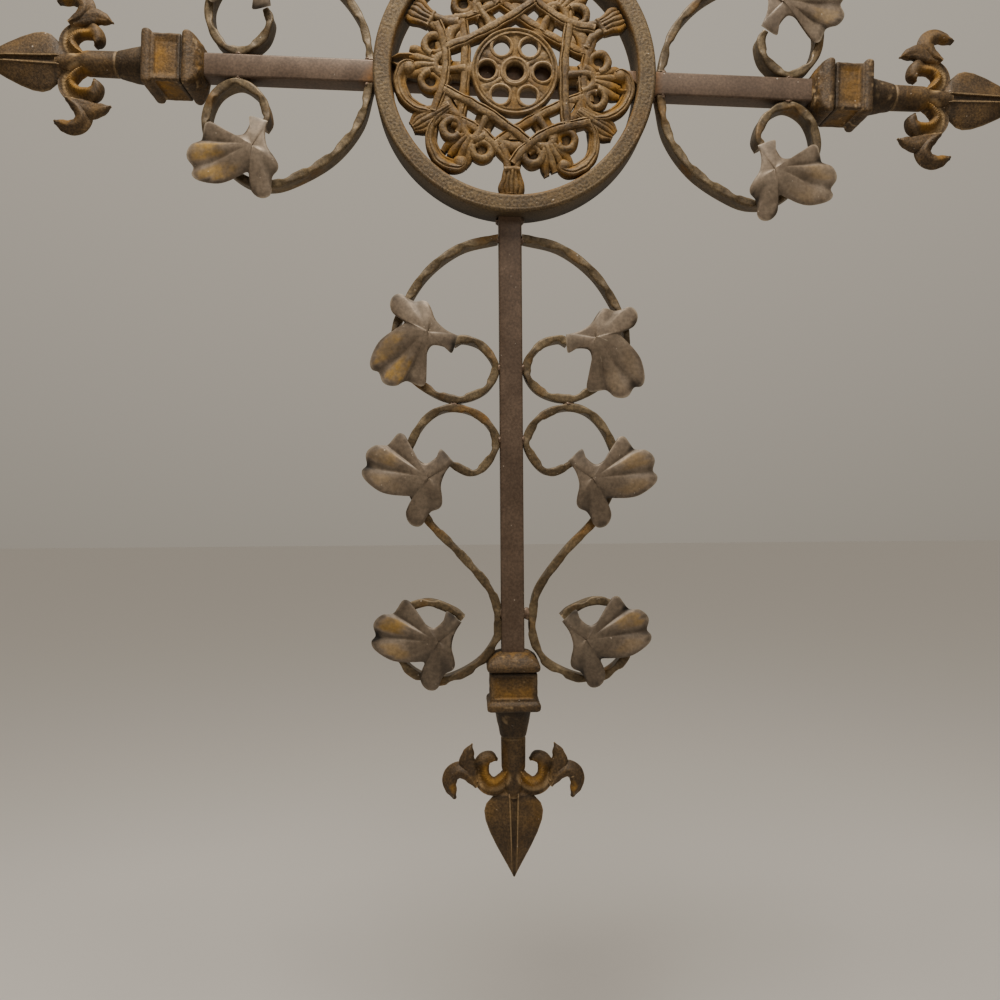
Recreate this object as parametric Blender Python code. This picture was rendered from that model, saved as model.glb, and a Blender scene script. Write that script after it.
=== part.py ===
"""Iron wall cross: square bars, a cast openwork medallion, forged scrolls with pressed leaves,
and a cast collar and fleur-de-lis finial on every end.

Metres, +Z up, the front faces -Y. The origin is the middle of the back face of the horizontal bar,
where the arms cross. Every limb is modelled hanging down from the crossing, as the foot does, and
the arms are turned into place about Y.
"""
import math

import bmesh
import bpy
from mathutils import Matrix, Vector

MM = 0.001

# Fits
GAP = 0.3 * MM                    # air between two pieces that touch

# Square bars
BAR = 12.7 * MM                   # side of the square bar
HEAD_LEAN = 2.0                   # degrees that the head sits turned clockwise on the foot
LEFT_COLLAR_PAST = 0.1 * MM       # collar's top beyond the C-scroll's end, on each limb as fitted
RIGHT_COLLAR_PAST = -5.4 * MM
TOP_COLLAR_PAST = -4.4 * MM
SOCKET_DEPTH = 10.0 * MM          # length of bar inside a collar

# Medallion
RING_RADIUS = 77.4 * MM           # outer radius of the cast ring
RING_WALL = 9.9 * MM              # width of the ring's front face
RING_DEPTH = 21.5 * MM            # from its back, level with the bars' backs, to its face
RING_CHAMFER = 1.0 * MM
RING_SIDES = 48
WORK_RECESS = 1.2 * MM            # openwork's face behind the ring's face
WORK_CLEAR = 0.6 * MM             # air between the openwork and the bar behind it
WORK_STEP = 0.5 * MM              # difference in height where one strap passes over another
BACK_STEP = 0.1 * MM              # and at the back of the casting
STRAP_WIDTH = 4.0 * MM            # straps of the interlaced hexagons
BITE = 1.0 * MM                   # how far cast members run into the ring's wall

# Scroll strip
STRIP = 3.4 * MM                  # thickness of the forged strip
STRIP_DEPTH = 12.0 * MM           # width of the strip, front to back

# C-scrolls, one each side of every limb
C_RUN = 90.5 * MM                 # length along the bar
C_REACH = 56.0 * MM               # reach out from the bar
FOOT_SETBACK = 9.0 * MM           # air between ring and scroll, on each limb as fitted
RIGHT_SETBACK = 2.0 * MM
TOP_SETBACK = 1.0 * MM

# S-scrolls on the foot
S_RUN = 151.0 * MM                # length along the bar
S_REACH = 58.5 * MM               # reach out from the bar
S_TO_SHOULDER = 15.5 * MM         # from the bottom of the S up to the foot collar's top
S_STAND_OFF = 3.0 * MM            # air between the bar and the right-hand S at its lower weld
S_BEAD_CLEAR = 0.6 * MM           # air where an S passes the collar's bead

# Pressed leaves
LEAF_SIZE = 43.6 * MM             # from the scroll's end to the furthest scallop
LEAF_SHEET = 1.2 * MM
LEAF_CROWN = 6.0 * MM             # height of the pressed dome

# Collars
COLLAR_BEAD = 29.8 * MM           # across the beads
COLLAR_BODY = 26.4 * MM           # across the body
COLLAR_LENGTH = 31.7 * MM
COLLAR_SHOULDER = 5.6 * MM        # height of the sloping shoulder
COLLAR_TOP_WALL = 1.4 * MM        # wall round the bar at the top
BEAD_ROUND = 0.9 * MM             # corner of a bead
BEAD_DEPTH = 3.9 * MM             # flat of the upper bead
LOWER_BEAD_DEPTH = 3.0 * MM
COVE = 1.6 * MM                   # slope from the upper bead down to the body
LOWER_COVE = 2.1 * MM
PANEL_FRAME = 2.6 * MM
PANEL_DEPTH = 0.9 * MM
NECK_LENGTH = 16.0 * MM           # round cone below the collar
NECK_TOP_RADIUS = 10.5 * MM
NECK_END_RADIUS = 7.2 * MM

# Finials
SHANK_RADIUS = 6.9 * MM
FLEUR_SPAN = 77.7 * MM            # tip to tip of the side petals
FLEUR_DROP = 35.5 * MM            # neck's end to the top of the blade
FLEUR_THICK = 11.0 * MM
BLADE_LENGTH = 43.0 * MM
BLADE_WIDTH = 33.0 * MM
BLADE_THICK = 9.0 * MM

# Worked out from the sizes above
BAR_MIDDLE = -BAR / 2                                  # Y of the bars' axis
RING_BORE = RING_RADIUS - RING_WALL
WORK_BACK = -BAR - WORK_CLEAR
WORK_FRONT = -RING_DEPTH + WORK_RECESS
TOUCH = BAR / 2 + GAP + STRIP / 2                      # strip's middle where it lies on a bar
C_SETBACK = {"foot": FOOT_SETBACK, "left": 0.0, "right": RIGHT_SETBACK, "top": TOP_SETBACK}
C_START = {limb: RING_RADIUS + GAP + STRIP / 2 + setback for limb, setback in C_SETBACK.items()}
STAND_OFF = {1: S_STAND_OFF, -1: 0.0}                  # right and left S-scroll
S_START = C_START["foot"] + C_RUN + STRIP + GAP
FOOT_SHOULDER = S_START + S_RUN - S_TO_SHOULDER
SHOULDERS = {
    "foot": FOOT_SHOULDER,
    "left": C_START["left"] + C_RUN + LEFT_COLLAR_PAST,
    "right": C_START["right"] + C_RUN + RIGHT_COLLAR_PAST,
    "top": C_START["top"] + C_RUN + TOP_COLLAR_PAST,
}
STRIP_FRONT = BAR_MIDDLE - STRIP_DEPTH / 2
FOOT_SHIFT = -(RING_RADIUS + BAR / 2) * math.sin(math.radians(HEAD_LEAN))


# Scene and materials

def clear_scene():
    for thing in list(bpy.data.objects):
        bpy.data.objects.remove(thing, do_unlink=True)


def iron(name, colour, roughness, metallic):
    material = bpy.data.materials.new(name)
    material.use_nodes = True
    shader = material.node_tree.nodes["Principled BSDF"]
    shader.inputs["Base Color"].default_value = (*colour, 1.0)
    shader.inputs["Roughness"].default_value = roughness
    shader.inputs["Metallic"].default_value = metallic
    material.diffuse_color = (*colour, 1.0)
    return material


def add_object(name, bm, material, smooth=0.0):
    """Closes a bmesh into a named object with faces pointing out."""
    bmesh.ops.recalc_face_normals(bm, faces=bm.faces)
    mesh = bpy.data.meshes.new(name)
    bm.to_mesh(mesh)
    bm.free()
    if smooth:
        mesh.shade_smooth()
        mesh.set_sharp_from_angle(angle=math.radians(smooth))
    mesh.materials.append(material)
    thing = bpy.data.objects.new(name, mesh)
    bpy.context.scene.collection.objects.link(thing)
    return thing


def hide_tool(thing):
    thing.hide_render = True
    thing.display_type = "WIRE"


def boolean(thing, tool, operation, use_self=False):
    modifier = thing.modifiers.new(operation.title(), "BOOLEAN")
    modifier.operation = operation
    modifier.solver = "EXACT"
    modifier.use_self = use_self
    modifier.object = tool
    hide_tool(tool)


# Limbs: a limb hangs down from the crossing, its sideways axis is X and its front is -Y

def limb_turn(degrees):
    return Matrix.Rotation(math.radians(degrees), 4, "Y")


LIMBS = {
    "foot": Matrix.Translation((FOOT_SHIFT, 0, 0)),
    "left": limb_turn(90 + HEAD_LEAN),
    "right": limb_turn(-90 + HEAD_LEAN),
    "top": limb_turn(180 + HEAD_LEAN),
}
MIRROR_X = Matrix.Diagonal((-1, 1, 1, 1))


def settle(bm, limb, side=1):
    """Puts a piece on its limb, mirrored across the limb where side is -1."""
    place = LIMBS[limb] @ MIRROR_X if side < 0 else LIMBS[limb]
    bmesh.ops.transform(bm, matrix=place, verts=bm.verts)


# Shared shapes

def box(low, high):
    """A block between two corners."""
    bm = bmesh.new()
    bmesh.ops.create_cube(bm, size=1.0)
    size = Vector(high) - Vector(low)
    middle = (Vector(high) + Vector(low)) / 2
    bmesh.ops.scale(bm, vec=size, verts=bm.verts)
    bmesh.ops.translate(bm, vec=middle, verts=bm.verts)
    return bm


def sweep(bm, corners, stations):
    """Extrudes one flat section through a list of matrices into a closed body."""
    verts = [bm.verts.new(stations[0] @ Vector(corner)) for corner in corners]
    face = bm.faces.new(verts)
    for index, (here, there) in enumerate(zip(stations, stations[1:])):
        grown = bmesh.ops.extrude_face_region(bm, geom=[face])["geom"]
        if index:
            bmesh.ops.delete(bm, geom=[face], context="FACES_ONLY")
        face = next(item for item in grown if isinstance(item, bmesh.types.BMFace))
        bmesh.ops.transform(bm, matrix=there @ here.inverted(), verts=list(face.verts))


def smooth_path(points, steps):
    """A Catmull-Rom curve through 2-D points, with a few steps to each span."""
    ends = [2 * points[0] - points[1], *points, 2 * points[-1] - points[-2]]
    path = []
    for index in range(1, len(ends) - 2):
        a, b, c, d = ends[index - 1:index + 3]
        for step in range(steps):
            t = step / steps
            path.append(0.5 * (2 * b + (c - a) * t + (2 * a - 5 * b + 4 * c - d) * t ** 2
                               + (3 * b - a - 3 * c + d) * t ** 3))
    return [*path, points[-1]]


def path_stations(path, depth_at, widths, depths, first_heading=None):
    """One matrix for each point of a path drawn in the limb's own plane.

    The section's x runs across the path, its y front to back, and widths and depths scale it.
    """
    stations = []
    for index, point in enumerate(path):
        before = path[max(index - 1, 0)]
        after = path[min(index + 1, len(path) - 1)]
        heading = (after - before).normalized()
        if index == 0 and first_heading is not None:
            heading = first_heading
        matrix = Matrix((
            (-heading.y * widths[index], 0, heading.x, point.x),
            (0, depths[index], 0, depth_at),
            (heading.x * widths[index], 0, heading.y, point.y),
            (0, 0, 0, 1)))
        stations.append(matrix)
    return stations


def spin_solid(bm, section, sides, closed):
    """Turns a section of (radius, y) points about the Y axis; an open one starts and ends on it."""
    ring = bmesh.new()
    verts = [ring.verts.new((radius, y, 0)) for radius, y in section]
    pairs = list(zip(verts, verts[1:]))
    if closed:
        pairs.append((verts[-1], verts[0]))
    edges = [ring.edges.new(pair) for pair in pairs]
    bmesh.ops.spin(ring, geom=[*verts, *edges], cent=(0, 0, 0), axis=(0, 1, 0),
                   angle=math.tau, steps=sides, use_merge=True)
    bmesh.ops.remove_doubles(ring, verts=ring.verts, dist=0.01 * MM)
    pour(bm, ring, Matrix())


def pour(bm, part, place):
    """Adds one bmesh to another, moved by a matrix."""
    bmesh.ops.transform(part, matrix=place, verts=part.verts)
    bmesh.ops.recalc_face_normals(part, faces=part.faces)
    mesh = bpy.data.meshes.new("pour")
    part.to_mesh(mesh)
    part.free()
    bm.from_mesh(mesh)
    bpy.data.meshes.remove(mesh)


# Bars

def cross_bar(material):
    """One continuous bar behind the medallion, from collar to collar."""
    left = SHOULDERS["left"] + SOCKET_DEPTH - GAP
    right = SHOULDERS["right"] + SOCKET_DEPTH - GAP
    bm = box((-left, -BAR, -BAR / 2), (right, 0, BAR / 2))
    bmesh.ops.transform(bm, matrix=limb_turn(HEAD_LEAN), verts=bm.verts)
    return add_object("cross_bar", bm, material)


def butted_bar(name, limb, shoulder, material):
    """A bar whose inner end is ground to sit on the ring."""
    bm = bmesh.new()
    radius = RING_RADIUS + GAP
    shift = LIMBS[limb].translation.x
    end = -(shoulder + SOCKET_DEPTH - GAP)
    sides = 6
    outline = []
    for index in range(sides + 1):
        x = -BAR / 2 + BAR * index / sides
        outline.append((x, 0, -math.sqrt(radius ** 2 - (x + shift) ** 2)))
    outline += [(BAR / 2, 0, end), (-BAR / 2, 0, end)]
    face = bm.faces.new([bm.verts.new(point) for point in outline])
    grown = bmesh.ops.extrude_face_region(bm, geom=[face])["geom"]
    front = [item for item in grown if isinstance(item, bmesh.types.BMVert)]
    bmesh.ops.translate(bm, vec=(0, -BAR, 0), verts=front)
    settle(bm, limb)
    return add_object(name, bm, material)


# Medallion: distances in the openwork are shares of the ring's bore, and every motif is drawn
# pointing right and then turned round the hub

def work_point(along, across=0.0):
    return Vector((along * RING_BORE, across * RING_BORE))


def round_work(bm, motif, angles, level):
    """Pours copies of a motif round the hub, every second one half a level lower."""
    for index, angle in enumerate(angles):
        part = bmesh.new()
        motif(part, level + 0.5 * (index % 2))
        pour(bm, part, Matrix.Rotation(math.radians(-angle), 4, "Y"))


def work_faces(level):
    """Front and back of a member: no two members that cross share a face."""
    return WORK_FRONT + level * WORK_STEP, WORK_BACK - level * BACK_STEP


def member(bm, points, shares, level):
    """A cast member along a line of points, with a width at each as a share of the bore."""
    path = [work_point(*point) for point in points]
    front, back = work_faces(level)
    corners = [(-0.5, back, 0), (0.5, back, 0), (0.5, front, 0), (-0.5, front, 0)]
    widths = [share * RING_BORE for share in shares]
    sweep(bm, corners, path_stations(path, 0, widths, [1] * len(path)))


def inner_strap(bm, level):
    """Side of the inner hexagon, run on at both ends to meet the outer one."""
    share = STRAP_WIDTH / RING_BORE
    member(bm, [(0.422, -0.425), (0.422, 0.425)], [share] * 2, level)


def outer_strap(bm, level):
    share = STRAP_WIDTH / RING_BORE
    member(bm, [(0.574, -0.35), (0.574, 0.35)], [share] * 2, level)


def hub_web(bm, level):
    member(bm, [(0.30, 0), (0.43, 0)], [0.09] * 2, level)


def volute_leaf(bm, level):
    """Ribbed leaf on the middle of each side."""
    member(bm, [(0.58, 0), (0.72, 0), (0.84, 0), (0.935, 0)], [0.09, 0.13, 0.12, 0.05], level)


def volutes(bm, level):
    """Pair of rolled volutes either side of the leaf."""
    front, back = work_faces(level)
    radius = 0.085 * RING_BORE
    for side in (-1, 1):
        volute = bmesh.new()
        spin_solid(volute, [(0, front), (radius, front), (radius, back), (0, back)], 6, False)
        centre = work_point(0.675, side * 0.135)
        pour(bm, volute, Matrix.Translation((centre.x, 0, centre.y)))


def sheaf(bm, level):
    """Bound tassel from a corner of the hexagon out to the ring."""
    end = 1 + BITE / RING_BORE
    member(bm, [(0.62, 0), (0.75, 0), (0.85, 0), (0.93, 0), (end, 0)], [0.13, 0.12, 0.17, 0.21, 0.20], level)


def fleur_stem(bm, level):
    end = 1 + BITE / RING_BORE
    member(bm, [(0.62, 0), (0.74, 0), (0.88, 0), (end, 0)], [0.14, 0.12, 0.20, 0.16], level)


def fleur_arms(bm, level):
    """Two arms that run round inside the ring, from the stem to the next leaves."""
    for side in (-1, 1):
        points = []
        for turn, radius in ((2, 0.93), (12, 0.965), (22, 0.963), (30, 0.905)):
            angle = math.radians(side * turn)
            points.append((radius * math.cos(angle), radius * math.sin(angle)))
        member(bm, points, [0.10, 0.09, 0.08, 0.05], level + 0.25 * side)


def medallion(material):
    """Ring and openwork, one casting, with the bar let into the ring's back."""
    ring = bmesh.new()
    outer = RING_RADIUS
    inner = RING_BORE
    face = -RING_DEPTH
    section = [(inner, 0), (outer, 0), (outer, face + RING_CHAMFER), (outer - RING_CHAMFER, face),
               (inner + RING_CHAMFER, face), (inner, face + RING_CHAMFER)]
    spin_solid(ring, section, RING_SIDES, True)
    casting = add_object("medallion", ring, material, 35)
    half = BAR / 2 + GAP
    notch = box((-RING_RADIUS * 1.1, -BAR - GAP, -half), (RING_RADIUS * 1.1, BAR, half))
    boolean(casting, add_object("bar_notch", notch, material), "DIFFERENCE")

    work = bmesh.new()
    hub = 0.348 * RING_BORE
    rim = 0.045 * RING_BORE
    low = WORK_FRONT + 1.4 * MM
    hub_section = [(0, WORK_BACK - 0.1 * WORK_STEP), (hub, WORK_BACK - 0.1 * WORK_STEP), (hub, WORK_FRONT),
                   (hub - rim, WORK_FRONT), (hub - rim, low), (0, low)]
    spin_solid(work, hub_section, 18, False)
    sides = range(0, 360, 60)
    corners = (30, 150, 270)
    between = (90, 210, 330)
    for motif, angles, level in ((inner_strap, sides, 1.0), (outer_strap, sides, 2.1), (hub_web, sides, 3.2),
                                 (volute_leaf, sides, 0.3), (volutes, sides, 1.2), (sheaf, corners, 0.1),
                                 (fleur_stem, between, 0.2), (fleur_arms, between, 1.8)):
        round_work(work, motif, angles, level)
    openwork = add_object("openwork", work, material)
    boolean(casting, openwork, "UNION", use_self=True)

    holes = bmesh.new()
    eyes = [(0.0, 0.0, 0.072)]
    for step in range(6):
        angle = math.radians(60 * step)
        eyes.append((0.217 * math.cos(angle), 0.217 * math.sin(angle), 0.068))
    for across, up, radius in eyes:
        centre = work_point(across, up)
        place = Matrix.Translation((centre.x, face, centre.y)) @ Matrix.Rotation(math.pi / 2, 4, "X")
        bmesh.ops.create_cone(holes, cap_ends=True, segments=8, radius1=radius * RING_BORE,
                              radius2=radius * RING_BORE, depth=RING_DEPTH, matrix=place)
    boolean(casting, add_object("hub_holes", holes, material), "DIFFERENCE")

    for thing in (casting, *(modifier.object for modifier in casting.modifiers)):
        thing.data.transform(limb_turn(HEAD_LEAN))
    return casting


# Scrolls: points are (along the bar, out from it), as shares of the scroll's own run and reach

C_POINTS = [(0, 0), (0.065, 0.36), (0.235, 0.71), (0.49, 0.955), (0.645, 1.0), (0.77, 0.94), (0.895, 0.76),
            (0.99, 0.44), (0.94, 0.13), (0.80, 0), (0.665, 0.13), (0.62, 0.32), (0.645, 0.42)]
S_POINTS = [(0.19, 0.50), (0.24, 0.25), (0.205, 0.09), (0.12, 0), (0.035, 0.14), (0.0, 0.40),
            (0.03, 0.63), (0.12, 0.80), (0.24, 0.86), (0.405, 0.67), (0.53, 0.37), (0.665, 0.08), (0.76, 0)]
S_LOOP = [(0.99, 0.42), (1.0, 0.64), (0.95, 0.87), (0.85, 1.0), (0.76, 0.94), (0.715, 0.68),
          (0.745, 0.43), (0.775, 0.33)]
PATH_STEPS = 2


def scroll(name, path, limb, side, material):
    """Flat strip on edge, bent along its path."""
    bm = bmesh.new()
    count = len(path)
    stations = path_stations(path, BAR_MIDDLE, [1] * count, [1] * count, Vector((1, 0)))
    x = STRIP / 2
    y = STRIP_DEPTH / 2
    sweep(bm, [(-x, -y, 0), (x, -y, 0), (x, y, 0), (-x, y, 0)], stations)
    settle(bm, limb, side)
    return add_object(name, bm, material, 35)


def rest_on_bar(path):
    """Holds a strip's middle off the bar, all but its cut first end."""
    return [path[0], *(Vector((max(TOUCH, point.x), point.y)) for point in path[1:])]


def c_path(start):
    points = [Vector((TOUCH + out * C_REACH, -(start + along * C_RUN))) for along, out in C_POINTS]
    points[0].x = BAR / 2 + GAP
    return rest_on_bar(smooth_path(points, PATH_STEPS))


def s_path(side):
    """The S lies on the bar twice, then passes the corner of the collar's bead."""
    stand_off = STAND_OFF[side]
    points = [Vector((TOUCH + out * S_REACH, -(S_START + along * S_RUN))) for along, out in S_POINTS]
    clear = COLLAR_BEAD / 2 + GAP + STRIP / 2
    shoulder = FOOT_SHOULDER + COLLAR_SHOULDER
    points[-1].x += stand_off
    points[-2].x += 0.6 * stand_off
    points.append(Vector((TOUCH + stand_off, -(FOOT_SHOULDER - 0.058 * S_RUN))))
    points.append(Vector((clear + S_BEAD_CLEAR, -(shoulder - S_BEAD_CLEAR))))
    points += [Vector((TOUCH + out * S_REACH, -(S_START + along * S_RUN))) for along, out in S_LOOP]
    return rest_on_bar(smooth_path(points, PATH_STEPS))


# Leaves

# Edge of a leaf from the scroll's end, as shares of its length: out from the bar, and on along it
LEAF_EDGE = [(-0.03, -0.10), (0.17, -0.19), (0.38, -0.48), (0.57, -0.49), (0.76, -0.53), (0.85, -0.40),
             (0.66, -0.18), (0.83, -0.03), (0.95, 0.15), (1.0, 0.36), (0.77, 0.61), (0.54, 0.54),
             (0.37, 0.58), (0.29, 0.48), (0.325, 0.25), (0.29, 0.08), (0.02, 0.09)]
LEAF_FORK = (0.36, -0.09)
FOLDS = (3, 6, 11)                # edge points that end a groove between two scallops


def leaf(name, limb, side, tip, turn, slide, flip, material):
    """Pressed sheet leaf with two scalloped lobes, domed towards the front.

    Slide, as a share of its length, moves it out from the scroll's end.
    """
    bm = bmesh.new()
    bmesh.ops.create_circle(bm, cap_ends=True, cap_tris=True, segments=len(LEAF_EDGE), radius=1.0)
    spokes = [edge for edge in bm.edges if min(vert.co.length for vert in edge.verts) < 0.5]
    bmesh.ops.subdivide_edges(bm, edges=spokes, cuts=1)
    around = sorted(bm.verts, key=lambda vert: math.atan2(vert.co.y, vert.co.x) % math.tau)
    centre = next(vert for vert in around if vert.co.length < 0.1)
    rim = [vert for vert in around if vert.co.length > 0.9]
    middle = [vert for vert in around if 0.1 < vert.co.length < 0.9]
    fork = Vector(LEAF_FORK)
    for index, (out, on) in enumerate(LEAF_EDGE):
        edge = Vector((out, on))
        inner = fork.lerp(edge, 0.55)
        crown = LEAF_CROWN * min(1.0, (edge - fork).length / 0.5)
        if index in FOLDS:
            crown *= 0.55
        rim[index].co = (edge.x * LEAF_SIZE, -0.15 * crown, -edge.y * LEAF_SIZE)
        middle[index].co = (inner.x * LEAF_SIZE, -crown, -inner.y * LEAF_SIZE)
    centre.co = (fork.x * LEAF_SIZE, -0.5 * LEAF_CROWN, -fork.y * LEAF_SIZE)
    sheet = [*bm.verts, *bm.edges, *bm.faces]
    behind = bmesh.ops.extrude_face_region(bm, geom=sheet, use_keep_orig=True)["geom"]
    behind = [item for item in behind if isinstance(item, bmesh.types.BMVert)]
    bmesh.ops.translate(bm, vec=(0, LEAF_SHEET, 0), verts=behind)
    bmesh.ops.recalc_face_normals(bm, faces=bm.faces)
    if flip:
        bmesh.ops.scale(bm, vec=(1, 1, -1), verts=bm.verts)
    bmesh.ops.transform(bm, matrix=limb_turn(turn), verts=bm.verts)
    back = max(vert.co.y for vert in bm.verts)
    bmesh.ops.translate(bm, vec=(tip.x + slide * LEAF_SIZE, STRIP_FRONT - GAP - back, tip.y), verts=bm.verts)
    settle(bm, limb, side)
    return add_object(name, bm, material, 35)


# Collars and finials

def square_ring(bm, half, z):
    corners = [(-half, -half), (half, -half), (half, half), (-half, half)]
    return [bm.verts.new((x, BAR_MIDDLE + y, z)) for x, y in corners]


def collar(name, limb, shoulder, material):
    """Square cast collar with two beads and sunk panels, and a round neck below."""
    bead = COLLAR_BEAD / 2
    body = COLLAR_BODY / 2
    lip = BAR / 2 + GAP + COLLAR_TOP_WALL
    end = COLLAR_LENGTH
    upper = COLLAR_SHOULDER + BEAD_ROUND
    lower = end - BEAD_ROUND
    profile = [(lip, 0), (bead - BEAD_ROUND, COLLAR_SHOULDER), (bead, upper), (bead, upper + BEAD_DEPTH),
               (body, upper + BEAD_DEPTH + COVE), (body, lower - LOWER_BEAD_DEPTH - LOWER_COVE),
               (bead, lower - LOWER_BEAD_DEPTH), (bead, lower), (bead - BEAD_ROUND, end)]
    bm = bmesh.new()
    loops = [square_ring(bm, half, -(shoulder + down)) for half, down in profile]
    walls = []
    for above, below in zip(loops, loops[1:]):
        for index in range(4):
            after = (index + 1) % 4
            walls.append(bm.faces.new((above[index], above[after], below[after], below[index])))
    bm.faces.new(loops[0])
    bm.faces.new(loops[-1])
    bmesh.ops.recalc_face_normals(bm, faces=bm.faces)
    panels = walls[16:20]
    bmesh.ops.inset_individual(bm, faces=panels, thickness=PANEL_FRAME, depth=-PANEL_DEPTH)
    place = LIMBS[limb]
    bmesh.ops.transform(bm, matrix=place, verts=bm.verts)
    casting = add_object(name, bm, material, 35)

    neck = bmesh.new()
    lift = 1.5 * MM
    middle = -(shoulder + end + (NECK_LENGTH - lift) / 2)
    bmesh.ops.create_cone(neck, cap_ends=True, segments=14, radius1=NECK_END_RADIUS, radius2=NECK_TOP_RADIUS,
                          depth=NECK_LENGTH + lift, matrix=Matrix.Translation((0, BAR_MIDDLE, middle)))
    bmesh.ops.transform(neck, matrix=place, verts=neck.verts)
    boolean(casting, add_object(name + "_neck", neck, material), "UNION")

    half = BAR / 2 + GAP
    hole = box((-half, BAR_MIDDLE - half, -(shoulder + SOCKET_DEPTH)),
               (half, BAR_MIDDLE + half, -(shoulder - SOCKET_DEPTH)))
    bmesh.ops.transform(hole, matrix=place, verts=hole.verts)
    boolean(casting, add_object(name + "_socket", hole, material), "DIFFERENCE")
    return casting


# Right half of the fleur: points are shares of the fleur's span, out from the axis and down
# from the neck's end, with the member's half width at each
FLEUR_PETALS = {
    "curl": ([(0.03, 0.33), (0.11, 0.37), (0.20, 0.335), (0.225, 0.25), (0.205, 0.185), (0.135, 0.165)],
             [0.035, 0.05, 0.06, 0.06, 0.048, 0.03], 1.0),
    "droop": ([(0.26, 0.33), (0.38, 0.24), (0.465, 0.29), (0.44, 0.44)], [0.03, 0.055, 0.045, 0.025], 0.92),
    "upright": ([(0.30, 0.34), (0.335, 0.19), (0.30, 0.055)], [0.04, 0.065, 0.015], 0.8),
}


def petal(bm, points, widths, thick, side):
    path = [Vector((side * out * FLEUR_SPAN, -down * FLEUR_SPAN)) for out, down in points]
    path = smooth_path(path, 1)
    spread = [2 * width * FLEUR_SPAN for width in widths]
    depths = [FLEUR_THICK * thick * min(1.0, width / 0.03) for width in widths]
    corners = [(-0.5, 0, 0), (0, -0.5, 0), (0.5, 0, 0), (0, 0.5, 0)]
    part = bmesh.new()
    sweep(part, corners, path_stations(path, BAR_MIDDLE, spread, depths))
    pour(bm, part, Matrix())


# Blade: half width as a share of the full one, at shares of its length
BLADE_OUTLINE = [(-0.16, 0.30), (0.0, 0.80), (0.14, 1.0), (0.30, 0.94), (0.62, 0.56), (1.0, 0.03)]


def blade(bm, top):
    """Spear blade with a groove between two ridges down each face."""
    part = bmesh.new()
    edge = 0.5
    ridge = 0.09
    groove = 0.36
    corners = [(-edge, 0, 0), (-ridge, -0.5, 0), (0, -groove, 0), (ridge, -0.5, 0),
               (edge, 0, 0), (ridge, 0.5, 0), (0, groove, 0), (-ridge, 0.5, 0)]
    stations = []
    for down, half in BLADE_OUTLINE:
        thick = BLADE_THICK * min(1.0, half / 0.7 + 0.15)
        place = Matrix.Translation((0, BAR_MIDDLE, -(top + down * BLADE_LENGTH)))
        stations.append(place @ Matrix.Diagonal((half * BLADE_WIDTH, thick, 1, 1)))
    sweep(part, corners, stations)
    pour(bm, part, Matrix())


def finial(name, limb, shoulder, material):
    """Cast fleur-de-lis spear on a round shank."""
    start = shoulder + COLLAR_LENGTH + NECK_LENGTH + GAP
    shank_end = start + 0.85 * FLEUR_DROP
    shank = bmesh.new()
    bmesh.ops.create_cone(shank, cap_ends=True, segments=10, radius1=SHANK_RADIUS * 0.9, radius2=SHANK_RADIUS,
                          depth=shank_end - start,
                          matrix=Matrix.Translation((0, BAR_MIDDLE, -(start + shank_end) / 2)))
    settle(shank, limb)
    casting = add_object(name, shank, material, 40)

    flower = bmesh.new()
    for side in (-1, 1):
        for points, widths, thick in FLEUR_PETALS.values():
            petal(flower, points, widths, thick, side)
    bmesh.ops.translate(flower, vec=(0, 0, -start), verts=flower.verts)
    blade(flower, start + FLEUR_DROP)
    settle(flower, limb)
    boolean(casting, add_object(name + "_flower", flower, material), "UNION", use_self=True)
    return casting


# Leaves hang on the scrolls' inner ends: side of the limb, turn in degrees and slide outwards
C_LEAVES = [("foot", 1, 4, 0.0), ("foot", -1, -9, 0.0), ("left", 1, 24, 0.0), ("left", -1, 23, 0.0),
            ("right", 1, 38, 0.0), ("right", -1, 30, 0.046), ("top", 1, 24, 0.0), ("top", -1, 24, 0.0)]
S_LEAVES = [(1, (40, -0.069), (40, 0.069)), (-1, (35, -0.046), (42, 0.103))]
SIDE_NAMES = {("foot", 1): "foot_right", ("foot", -1): "foot_left", ("left", 1): "left_arm_lower",
              ("left", -1): "left_arm_upper", ("right", 1): "right_arm_upper", ("right", -1): "right_arm_lower",
              ("top", 1): "top_arm_left", ("top", -1): "top_arm_right"}


def build():
    clear_scene()
    bar_iron = iron("bar_iron", (0.128, 0.088, 0.062), 0.48, 0.55)
    cast_iron = iron("cast_iron", (0.155, 0.105, 0.055), 0.72, 0.35)
    strip_iron = iron("strip_iron", (0.150, 0.115, 0.070), 0.52, 0.55)
    leaf_iron = iron("leaf_iron", (0.165, 0.110, 0.060), 0.45, 0.60)

    cross_bar(bar_iron)
    butted_bar("foot_bar", "foot", FOOT_SHOULDER, bar_iron)
    butted_bar("top_bar", "top", SHOULDERS["top"], bar_iron)
    medallion(cast_iron)
    for limb, shoulder in SHOULDERS.items():
        collar(limb + "_collar", limb, shoulder, cast_iron)
        finial(limb + "_finial", limb, shoulder, cast_iron)
    for limb, side, turn, slide in C_LEAVES:
        path = c_path(C_START[limb])
        label = SIDE_NAMES[limb, side]
        scroll(label + "_c_scroll", path, limb, side, strip_iron)
        leaf(label + "_leaf", limb, side, path[-1], turn, slide, False, leaf_iron)
    for side, upper, lower in S_LEAVES:
        path = s_path(side)
        label = SIDE_NAMES["foot", side]
        scroll(label + "_s_scroll", path, "foot", side, strip_iron)
        leaf(label + "_s_upper_leaf", "foot", side, path[0], *upper, True, leaf_iron)
        leaf(label + "_s_lower_leaf", "foot", side, path[-1], *lower, True, leaf_iron)


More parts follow.
